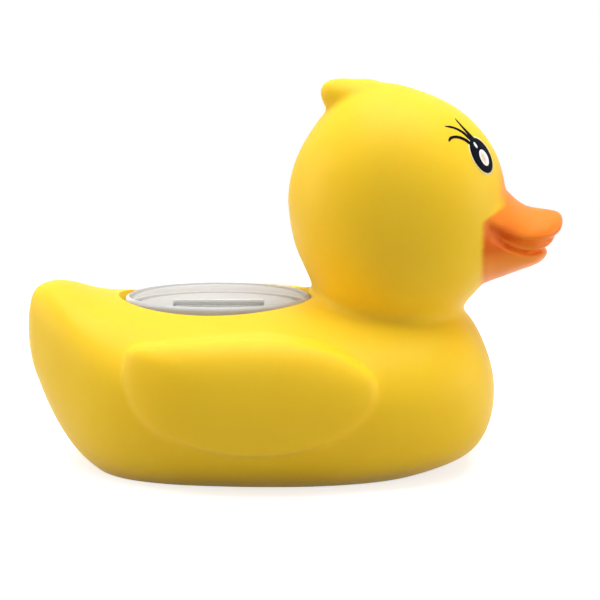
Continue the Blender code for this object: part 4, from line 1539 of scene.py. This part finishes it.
@dataclass
class EyePrint:
    """The printed eyes: each a black oval in a pale line, with its white, a glint and lashes.

    Places on the print are (across, up) in millimetres from its middle, across towards the bill.
    """

    middle: Row = (44.9, 12.4, 77.3)
    facing: Row = (0.70, 0.42, 0.58)
    iris: Row = (0.50, 0.25, 4.35, 4.65, 7.0)  # across, up, half width, half height, lean
    white: Row = (0.75, -0.60, 1.85, 2.10, 14.0)
    glint: Row = (-0.40, 2.9, 0.50, 0.80, -4.0)
    line: float = 0.45  # width of the pale line round the black
    lashes: tuple[tuple[Point, ...], ...] = (
        ((0.5, 4.0), (0.0, 5.6), (-0.5, 7.6), (-0.65, 9.4), (-0.5, 11.1)),
        ((-0.6, 3.6), (-1.3, 5.4), (-2.3, 7.2), (-4.0, 8.8), (-6.2, 9.9)),
        ((-1.8, 3.2), (-3.2, 5.0), (-5.0, 6.2), (-7.0, 6.6), (-8.4, 6.0)),
    )
    root_widths: Row = (1.7, 1.5, 1.25)
    tip_width: float = 0.52
    tip_start: float = 0.93  # the share of a lash from which its tip rounds off
    tip_narrowing: float = 0.7
    lines_across: Row = (-1.0, -0.33, 0.33, 1.0)  # of a lash, as shares of its half width
    line_lift: float = 0.03  # how far each ink stands off the skin
    lash_lift: float = 0.045
    black_lift: float = 0.05
    white_lift: float = 0.07
    sunk: float = 0.12  # how far each print reaches into the skin
    rings: int = 8  # of an oval
    spokes: int = 72
    outside: float = 10.0  # where places are looked up from, in front of the skin

    def build(self, skin: bpy.types.Object) -> dict[str, list[bpy.types.Object]]:
        """Prints both eyes on the skin.

        Args:
            skin: The duck.

        Returns:
            The pieces, by the ink that they take.
        """
        tree = BVHTree.FromObject(skin, settled())
        inks = ("line", "black", "white", "bright")
        made: dict[str, list[bpy.types.Object]] = {ink: [] for ink in inks}
        for side in Side:
            name = side.name.lower()
            across, up, half_width, half_height, lean = self.iris
            wider = (across, up, half_width + self.line, half_height + self.line, lean)
            for ink, part, oval, lift in (
                ("line", "line", wider, self.line_lift),
                ("black", "black", self.iris, self.black_lift),
                ("white", "white", self.white, self.white_lift),
                ("bright", "glint", self.glint, self.white_lift),
            ):
                made[ink].append(self._oval(tree, side, f"eye_{part}_{name}", oval, lift))
            for i, lash in enumerate(zip(self.lashes, self.root_widths), 1):
                made["black"].append(self._stroke(tree, side, f"lash_{i}_{name}", *lash))
        return made

    def dress(self, made: Mapping[str, Sequence[bpy.types.Object]]) -> None:
        """Inks the prints."""
        black = InkFinish("black_ink", (0.002, 0.003, 0.009), (0.005, 0.006, 0.014), 0.45, 0.02)
        inks = {
            "line": InkFinish("pale_ink", (0.90, 0.80, 0.42), (0.93, 0.76, 0.25)).material(),
            "black": black.material(),
            "white": PupilFinish().material(),
            "bright": InkFinish("white_ink", (0.92, 0.92, 0.92), (0.84, 0.84, 0.86)).material(),
        }
        for ink, pieces in made.items():
            for piece in pieces:
                Workshop.finish(piece, inks[ink], "black_resin")

    def _place(
        self, tree: BVHTree, side: Side, point: Point, lift: float
    ) -> tuple[Vector, Vector]:
        """A place on the print, carried onto the skin.

        Args:
            tree: The skin.
            side: Which eye.
            point: The place, in millimetres on the print.
            lift: How far its top stands off the skin, in millimetres.

        Returns:
            The top and the bottom of the ink there.
        """
        out = Vector((self.facing[0], side.value * self.facing[1], self.facing[2])).normalized()
        up = (Vector((0, 0, 1)) - out * out.z).normalized()
        across = Vector((up.cross(out))) * -side.value
        middle = Vector((self.middle[0], side.value * self.middle[1], self.middle[2]))
        at = (middle + across * point[0] + up * point[1]) * MM
        spot, normal, _, _ = tree.ray_cast(at + out * self.outside * MM, -out)
        return spot + normal * lift * MM, spot - normal * self.sunk * MM

    def _solid(
        self, name: str, rows: Sequence[Sequence[tuple[Vector, Vector]]], ring: bool
    ) -> bpy.types.Object:
        """A thin closed layer of ink from rows of places.

        Args:
            name: The piece's name.
            rows: Rows of (top, bottom) places.
            ring: True where each row runs round and the first is a point.

        Returns:
            The piece.
        """
        bm = bmesh.new()
        layers = []
        for which in (0, 1):
            layers.append([[bm.verts.new(place[which]) for place in row] for row in rows])
        for layer in layers:
            for first, second in zip(layer, layer[1:]):
                spans = len(second) if ring else len(second) - 1
                for i in range(spans):
                    j = (i + 1) % len(second)
                    corners = [first[i % len(first)], first[j % len(first)], second[j], second[i]]
                    bm.faces.new(list(dict.fromkeys(corners)))
        top, bottom = layers
        if ring:
            rim = list(zip(top[-1], bottom[-1]))
        else:
            left = [(t[0], b[0]) for t, b in zip(top, bottom)]
            right = [(t[-1], b[-1]) for t, b in zip(top, bottom)]
            first = list(zip(top[0], bottom[0]))[1:-1]
            last = list(zip(top[-1], bottom[-1]))[1:-1]
            rim = left + last + right[::-1] + first[::-1]
        for (a, b), (c, d) in zip(rim, rim[1:] + rim[:1]):
            bm.faces.new((a, c, d, b))
        bmesh.ops.recalc_face_normals(bm, faces=bm.faces)
        return Workshop.new_object(name, bm)

    def _oval(
        self, tree: BVHTree, side: Side, name: str, oval: Row, lift: float
    ) -> bpy.types.Object:
        """An oval print.

        Args:
            tree: The skin.
            side: Which eye.
            name: The piece's name.
            oval: Its middle, half sizes and lean in degrees.
            lift: How far its top stands off the skin, in millimetres.

        Returns:
            The piece.
        """
        across, up, half_width, half_height, lean = oval
        cos, sin = math.cos(math.radians(lean)), math.sin(math.radians(lean))
        rows = [[self._place(tree, side, (across, up), lift)]]
        for share in np.linspace(0, 1, self.rings + 1)[1:]:
            row = []
            for angle in np.linspace(0, 2 * math.pi, self.spokes + 1)[:-1]:
                a = share * half_width * math.cos(angle)
                b = share * half_height * math.sin(angle)
                point = (across + a * cos + b * sin, up - a * sin + b * cos)
                row.append(self._place(tree, side, point, lift))
            rows.append(row)
        return self._solid(name, rows, True)

    def _stroke(
        self, tree: BVHTree, side: Side, name: str, points: Sequence[Point], width: float
    ) -> bpy.types.Object:
        """A tapered stroke: a lash.

        Args:
            tree: The skin.
            side: Which eye.
            name: The piece's name.
            points: The line that it follows, from its root.
            width: Its width at its root.

        Returns:
            The piece.
        """
        rows = np.array(points)
        steered = np.vstack([2 * rows[0] - rows[1], rows, 2 * rows[-1] - rows[-2]])
        line = Curves.spline(steered, steps=8)
        ways = np.gradient(line, axis=0)
        ways /= np.linalg.norm(ways, axis=1)[:, None]
        made = []
        for i, (spot, way) in enumerate(zip(line, ways)):
            share = i / (len(line) - 1)
            half = (width * (1 - share) + self.tip_width * share) / 2
            if share > self.tip_start:
                half *= self.tip_narrowing
            row = []
            for t in self.lines_across:
                point = (spot[0] - way[1] * half * t, spot[1] + way[0] * half * t)
                row.append(self._place(tree, side, point, self.lash_lift))
            made.append(row)
        return self._solid(name, made, False)


@dataclass
class DisplayCapsule:
    """What shows in the duck's back: the lens, the silver plate and the display under it."""

    capsule: Capsule
    lens_wall: float = 1.5 * MM
    lens_skirt: float = 1.2 * MM
    lens_rise: float = 3.6 * MM
    edge_round: float = 0.45 * MM
    plate_round: float = 0.25 * MM
    window_length: float = 22.4 * MM
    window_width: float = 12.0 * MM
    window_round: float = 0.9 * MM
    corner_steps: int = 4
    bevel: float = 0.15 * MM  # round the window
    pinhole: float = 0.6 * MM  # its radius
    pinhole_ahead: float = 16.4 * MM
    crease: float = 30.0  # degrees from which an edge of the plate is sharp

    def build(self) -> list[bpy.types.Object]:
        """Makes the lens and the plate.

        Returns:
            Both, the lens first.
        """
        return [self._lens(), self._plate()]

    def dress(self, made: Sequence[bpy.types.Object]) -> None:
        """Gives the lens, the plate and the pieces under them their finishes.

        Args:
            made: The lens and the plate.
        """
        lens, plate = made
        c = self.capsule
        clear = ClearFinish(c.axis / MM, c.lens_length / MM / 2, c.ratio).material()
        Workshop.finish(lens, clear, "clear_plastic", "display_lens")
        silver = SilverFinish((c.axis + self.pinhole_ahead) / MM).material()
        Workshop.finish(plate, silver, "silver_plastic", "display_bezel")
        low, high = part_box("display_glass")
        middle = (low[0] + high[0]) / 2 / MM
        sizes = ((high[0] - low[0]) / MM, (high[1] - low[1]) / MM)
        Workshop.dress(DisplayFinish(middle, *sizes).material(), "display_glass")
        rubber = RubberFinish().material()
        Workshop.dress(rubber, "lens_seal", "case_seal", "cover_seal")
        strips = RubberFinish("zebra_rubber", (0.05, 0.05, 0.055), (0.33, 0.33, 0.34)).material()
        Workshop.dress(strips, "contact_strip_left", "contact_strip_right")

    def _lens(self) -> bpy.types.Object:
        """The clear dome, hollow underneath, with its upright skirt and a rounded edge."""
        reach = self.capsule.lens_length / 2
        low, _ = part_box("display_lens")
        bottom = low[2]
        edge = bottom + self.lens_skirt
        outer = Curves.arc(reach, self.lens_rise, edge, steps=20)
        hollow = reach - self.lens_wall
        inner = Curves.arc(hollow, self.lens_rise - self.lens_wall, edge, steps=16)
        small = self.edge_round / 3
        skirt = [(reach, bottom + small), (reach - small, bottom), (hollow, bottom)]
        profile = outer + skirt + inner[::-1]
        middle = (self.capsule.axis, 0.0)
        return Workshop.lathe("lens_dome", profile, middle, self.capsule.ratio, steps=160)

    def _plate(self) -> bpy.types.Object:
        """The silver plate, with a bevelled window and the lamp's pinhole."""
        low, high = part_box("display_bezel")
        reach = (high[0] - low[0]) / 2
        ratio = (high[1] - low[1]) / (high[0] - low[0])
        top, bottom = high[2], low[2]
        rim = self.plate_round
        profile = [(0.0, top), (reach - rim, top), (reach, top - rim)]
        profile += [(reach, bottom), (0.0, bottom)]
        axis = self.capsule.axis
        plate = Workshop.lathe("silver_plate", profile, (axis, 0.0), ratio, steps=128)
        outline = self._window()
        window = Workshop.prism("window", outline, bottom - OVER, top + OVER)
        depth = self.bevel
        bevel = Workshop.prism("bevel", outline, top - depth, top + depth, 2 * depth)
        ahead = (axis + self.pinhole_ahead, 0.0)
        round_hole = [(0.0, top + OVER), (self.pinhole, top + OVER)]
        round_hole += [(self.pinhole, bottom - OVER), (0.0, bottom - OVER)]
        hole = Workshop.lathe("hole", round_hole, ahead, steps=32)
        return Workshop.shaded(Workshop.cut(plate, window, bevel, hole), self.crease)

    def _window(self) -> list[Point]:
        """The window's outline, with round corners."""
        half_length = self.window_length / 2
        half_width = self.window_width / 2
        radius = self.window_round
        points = []
        for i, (sx, sy) in enumerate(((1, 1), (-1, 1), (-1, -1), (1, -1))):
            for step in range(self.corner_steps + 1):
                angle = math.pi / 2 * (i + step / self.corner_steps)
                x = sx * (half_length - radius) + radius * math.cos(angle)
                y = sy * (half_width - radius) + radius * math.sin(angle)
                points.append((self.capsule.axis + x, y))
        return points


@dataclass(frozen=True)
class CoverSizes:
    """The battery cover's form."""

    rim_height: float = 1.4 * MM
    plug: float = 5.9 * MM  # radius of what reaches into the bay
    edge_round: float = 0.25 * MM
    slot_length: float = 10.0 * MM
    slot_width: float = 1.6 * MM
    slot_depth: float = 0.8 * MM
    slot_steps: int = 8  # round each of its ends
    dimples: int = 6
    dimple_ring: float = 6.6 * MM  # radius of the circle that they stand on
    dimple: tuple[Point, ...] = ((0.0, 0.25), (0.30, 0.2), (0.45, -1.0), (0.0, -1.0))  # in mm


@dataclass(frozen=True)
class ScrewSizes:
    """A case screw's form."""

    head_height: float = 1.0 * MM
    head_edge: tuple[Point, ...] = ((0.0, 0.3), (0.1, 0.12), (0.35, 0.0))  # in from it, up, in mm
    core: float = 0.58 * MM
    crest: float = 0.8 * MM
    pitch: float = 0.8 * MM
    neck: float = 0.6 * MM  # the least plain length under the head
    point_height: float = 1.0 * MM
    tip: Point = (0.25 * MM, 0.2 * MM)  # its radius and its height
    recess_reach: float = 0.95 * MM  # of the cross in its head
    recess_half: float = 0.22 * MM
    recess_depth: float = 0.55 * MM


@dataclass(frozen=True)
class PinSizes:
    """A water pin's form."""

    stem: float = 0.8 * MM
    stem_edge: float = 0.2 * MM
    head_height: float = 0.6 * MM
    dome: float = 0.3 * MM


@dataclass
class CapsuleFoot:
    """What shows in the duck's base: the white foot, battery cover, probe, pins and screws."""

    cover: CoverSizes = CoverSizes()
    screw: ScrewSizes = ScrewSizes()
    pin: PinSizes = PinSizes()
    crease: float = 35.0  # degrees from which an edge is sharp
    screws: tuple[str, ...] = ("case_screw_1", "case_screw_2", "case_screw_3")
    pins: tuple[str, ...] = ("water_pin_left", "water_pin_right")

    def build(self) -> dict[str, bpy.types.Object]:
        """Makes the battery cover, the screws and the pins.

        Returns:
            The pieces, by the node that each stands for.
        """
        made = {"battery_cover": self._cover()}
        for name in self.screws:
            made[name] = self._screw(name)
        for name in self.pins:
            made[name] = self._pin(name)
        return made

    def dress(self, made: Mapping[str, bpy.types.Object]) -> None:
        """Finishes the new pieces, and the foot and probe.

        Args:
            made: The new pieces, by node.
        """
        white = MouldedFinish("white_moulding", (0.78, 0.78, 0.75), (0.72, 0.72, 0.69)).material()
        for name, piece in made.items():
            if name == "battery_cover":
                Workshop.finish(piece, white, "white_plastic", name)
                continue
            along, across = self._axis(name)
            finish = SteelFinish(f"{name}_steel", Working.TURNED, along / MM, across / MM)
            Workshop.finish(piece, finish.material(), "steel", name)
        Workshop.dress(white, "lower_case", "upper_case", "display_frame")
        along, across = self._axis("temperature_probe")
        probe = SteelFinish("probe_steel", Working.TURNED, along / MM, across / MM)
        Workshop.dress(probe.material(), "temperature_probe")

    def _axis(self, node: str) -> Point:
        """X and Y of a node's middle."""
        low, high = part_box(node)
        return ((low[0] + high[0]) / 2, (low[1] + high[1]) / 2)

    def _cover(self) -> bpy.types.Object:
        """The round cover, with a step for its seal and a slot for a coin."""
        low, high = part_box("battery_cover")
        middle = self._axis("battery_cover")
        sizes = self.cover
        rim = (high[0] - low[0]) / 2
        step = low[2] + sizes.rim_height
        plug, small = sizes.plug, sizes.edge_round
        profile = [
            (0.0, high[2]),
            (plug - small, high[2]),
            (plug, high[2] - small),
            (plug, step),
            (rim - small, step),
            (rim, step - small),
            (rim, low[2] + small),
            (rim - small, low[2]),
            (0.0, low[2]),
        ]
        cover = Workshop.lathe("cover_disc", profile, middle)
        half_length, half_width = sizes.slot_length / 2, sizes.slot_width / 2
        outline = []
        for sign in (1, -1):
            for i in range(sizes.slot_steps + 1):
                angle = math.pi * (i / sizes.slot_steps + (0 if sign > 0 else 1))
                x = middle[0] + half_width * math.cos(angle)
                y = middle[1] + sign * (half_length - half_width) + half_width * math.sin(angle)
                outline.append((x, y))
        cutters = [Workshop.prism("slot", outline, low[2] - OVER, low[2] + sizes.slot_depth)]
        dimple = [(radius * MM, low[2] + height * MM) for radius, height in sizes.dimple]
        for i in range(sizes.dimples):
            turn = math.radians(i * 360 / sizes.dimples)
            x = middle[0] + sizes.dimple_ring * math.cos(turn)
            y = middle[1] + sizes.dimple_ring * math.sin(turn)
            cutters.append(Workshop.lathe("dimple", dimple, (x, y), steps=20))
        return Workshop.shaded(Workshop.cut(cover, *cutters), self.crease)

    def _screw(self, node: str) -> bpy.types.Object:
        """A self-tapping screw with a pan head and a crossed recess, driven from below."""
        low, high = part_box(node)
        middle = self._axis(node)
        sizes = self.screw
        head = (high[0] - low[0]) / 2
        shoulder = low[2] + sizes.head_height
        core, crest, pitch = sizes.core, sizes.crest, sizes.pitch
        tip_radius, tip_height = sizes.tip
        profile: list[Point] = [(0.0, high[2]), (tip_radius, high[2] - tip_height)]
        height = high[2] - sizes.point_height
        while height - pitch > shoulder + sizes.neck:
            profile += [(core, height), (crest, height - pitch / 2)]
            height -= pitch
        profile += [(core, height), (core, shoulder), (head, shoulder)]
        profile += [(head - inset * MM, low[2] + up * MM) for inset, up in sizes.head_edge]
        profile.append((0.0, low[2]))
        screw = Workshop.lathe(f"{node}_thread", profile, middle, steps=40)
        long, thin = sizes.recess_reach, sizes.recess_half
        top = low[2] + sizes.recess_depth
        for half_x, half_y in ((long, thin), (thin, long)):
            outline = [
                (middle[0] + sx * half_x, middle[1] + sy * half_y)
                for sx, sy in ((1, 1), (-1, 1), (-1, -1), (1, -1))
            ]
            Workshop.cut(screw, Workshop.prism("cross", outline, low[2] - OVER, top))
        return Workshop.shaded(Workshop.without_slivers(screw), self.crease)

    def _pin(self, node: str) -> bpy.types.Object:
        """A contact pin with a low domed head."""
        low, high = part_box(node)
        sizes = self.pin
        head = (high[0] - low[0]) / 2
        stem, edge = sizes.stem, sizes.stem_edge
        top = low[2] + sizes.head_height
        dome = [
            (head * math.cos(angle), low[2] + sizes.dome * (1 - math.sin(angle)))
            for angle in np.linspace(0, math.pi / 2, 7)[:-1]
        ]
        profile = [(0.0, high[2]), (stem - edge, high[2]), (stem, high[2] - edge)]
        profile += [(stem, top), (head, top), *dome, (0.0, low[2])]
        return Workshop.lathe(f"{node}_head", profile, self._axis(node), steps=48)


@dataclass
class InnerWorks:
    """The pieces that the capsule hides."""

    cells: tuple[str, ...] = ("button_cell_lower", "button_cell_upper")
    springs: tuple[str, ...] = ("cell_contact_minus", "cell_contact_plus")

    def dress(self) -> None:
        """Gives each hidden piece its finish, as its CAD form stays."""
        low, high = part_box("button_cell_lower")
        along = (low[0] + high[0]) / 2 / MM
        Workshop.dress(SteelFinish("cell_steel", Working.TURNED, along).material(), *self.cells)
        Workshop.dress(SteelFinish("spring_steel", Working.ROLLED).material(), *self.springs)
        Workshop.dress(SteelFinish("can_steel", Working.DRAWN).material(), "timing_crystal")
        Workshop.dress(BoardFinish().material(), "circuit_board")
        Workshop.dress(ResinFinish().material(), "controller_chip")
        bead = ResinFinish("bead_resin", (0.02, 0.018, 0.016), (0.06, 0.055, 0.05))
        Workshop.dress(bead.material(), "thermistor")
        Workshop.dress(LampFinish().material(), "alarm_lamp")


@dataclass
class Lamp:
    """One soft rectangular studio lamp."""

    name: str
    place: Row
    target: Row
    size: Point
    power: float
    colour: Colour = (1.0, 1.0, 1.0)

    def build(self) -> None:
        """Hangs the lamp, turned towards its target."""
        data = bpy.data.lights.new(self.name, "AREA")
        data.shape = "RECTANGLE"
        data.size, data.size_y = self.size
        data.energy = self.power
        data.color = self.colour
        lamp = bpy.data.objects.new(self.name, data)
        bpy.context.scene.collection.objects.link(lamp)
        lamp.location = self.place
        way = Vector(self.target) - Vector(self.place)
        lamp.rotation_mode = "QUATERNION"
        lamp.rotation_quaternion = way.to_track_quat("-Z", "Y")


@dataclass
class Studio:
    """White floor and surroundings, soft lamps, and the camera."""

    distance: float = 0.8
    elevation: float = 10.0
    target: Row = (-0.183 * MM, 0.0, 47.544 * MM)
    lens: float = 194.84
    shift: Point = (0.00939, -0.0525)
    sensor: float = 36.0
    clip: Point = (0.01, 20.0)
    floor_size: float = 6.0
    floor_drop: float = 0.05 * MM  # keeps the floor clear of the duck's base
    paper: Colour = (0.62, 0.65, 0.76)  # cool, against the yellow the duck throws on it
    paper_glow: float = 0.69
    paper_gloss: float = 0.1
    grey_paper: Colour = (0.50, 0.50, 0.50)  # how it looks to light that bounces
    grey_fibre: Colour = (0.46, 0.46, 0.46)
    shadow_reach: float = 0.36  # the floor is plain white further out
    sky: float = 0.20
    lamps: tuple[Lamp, ...] = (
        Lamp("overhead", (0.0, 0.05, 0.95), (0.0, 0.0, 0.03), (1.1, 0.8), 12.6),
        Lamp(
            "left_side", (-0.85, 0.2, 0.25), (0.0, 0.0, 0.05), (0.5, 0.6), 3.4, (1.0, 0.92, 0.80)
        ),
        Lamp(
            "right_side", (0.85, 0.05, 0.12), (0.0, 0.0, 0.05), (0.5, 0.5), 3.6, (1.0, 0.90, 0.74)
        ),
        Lamp("front_fill", (0.1, -1.1, 0.55), (0.0, 0.0, 0.04), (0.9, 0.6), 1.75),
    )

    def build(self) -> None:
        """Lays the floor, hangs the lamps and places the camera."""
        self._world()
        self._floor()
        for lamp in self.lamps:
            lamp.build()
        self._camera()
        bpy.context.scene.view_settings.view_transform = "Standard"

    def _world(self) -> None:
        """Surroundings that look white, and light the duck only a little."""
        g = Graph("white_room", world=True)
        colour = (1.0, 1.0, 1.0, 1.0)
        dim, white = (
            g.node("ShaderNodeBackground", inputs={"Color": colour, "Strength": level})
            for level in (self.sky, 1.0)
        )
        bpy.context.scene.world = g.show(g.blend(g.background_seen(), dim, white))

    def _floor(self) -> None:
        """A white floor that keeps the duck's shadow, and runs out into the white room."""
        bm = bmesh.new()
        bmesh.ops.create_grid(bm, x_segments=8, y_segments=8, size=self.floor_size / 2)
        floor = Workshop.new_object("studio_floor", bm)
        floor.location.z = -self.floor_drop
        g = Graph("white_paper")
        fibre = g.noise(0.8, 3.0)
        lamp_lit = g.node(
            "ShaderNodeBsdfPrincipled",
            inputs={
                "Base Color": g.mix(fibre * 0.04, self.grey_paper, self.grey_fibre),
                "Roughness": 0.8 + fibre * 0.1,
                "Specular IOR Level": self.paper_gloss,
            },
        )
        paper = g.node(
            "ShaderNodeBsdfPrincipled",
            inputs={
                "Base Color": (*self.paper, 1.0),
                "Roughness": 0.85,
                "Specular IOR Level": self.paper_gloss,
                "Emission Color": (1.0, 1.0, 1.0, 1.0),
                "Emission Strength": self.paper_glow,
            },
        )
        white = g.node("ShaderNodeEmission", inputs={"Strength": 1.0})
        away = g.radius(0.0).step(self.shadow_reach / MM / 2, self.shadow_reach / MM)
        near = g.blend(away, paper, white)
        floor.data.materials.append(g.show(g.blend(g.background_seen(), lamp_lit, near.out.node)))

    def _camera(self) -> None:
        """The camera, where the photograph's was: at the duck's side, ten degrees up."""
        data = bpy.data.cameras.new("studio_camera")
        data.sensor_fit = "HORIZONTAL"
        data.sensor_width = self.sensor
        data.lens = self.lens
        data.shift_x, data.shift_y = self.shift
        data.clip_start, data.clip_end = self.clip
        camera = bpy.data.objects.new("studio_camera", data)
        bpy.context.scene.collection.objects.link(camera)
        tilt = math.radians(self.elevation)
        back = Vector((0.0, -math.cos(tilt), math.sin(tilt)))
        camera.location = Vector(self.target) + back * self.distance
        camera.rotation_mode = "QUATERNION"
        camera.rotation_quaternion = (-back).to_track_quat("-Z", "Y")
        bpy.context.scene.camera = camera


def report(pieces: Iterable[bpy.types.Object]) -> None:
    """Logs each finished piece."""
    for piece in pieces:
        log.info("%s: %d faces", piece.name, len(piece.data.polygons))


def main() -> None:
    """Builds and dresses every piece, then the studio."""
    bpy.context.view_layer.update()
    capsule = Capsule()
    duck = Duck(capsule)
    skin = duck.build()
    eyes = EyePrint()
    prints = eyes.build(skin)
    duck.dress(skin)
    report([skin])
    eyes.dress(prints)
    report(piece for pieces in prints.values() for piece in pieces)
    display = DisplayCapsule(capsule)
    shown = display.build()
    display.dress(shown)
    report(shown)
    foot = CapsuleFoot()
    pieces = foot.build()
    foot.dress(pieces)
    report(pieces.values())
    InnerWorks().dress()
    Studio().build()


if __name__ == "__main__":
    main()
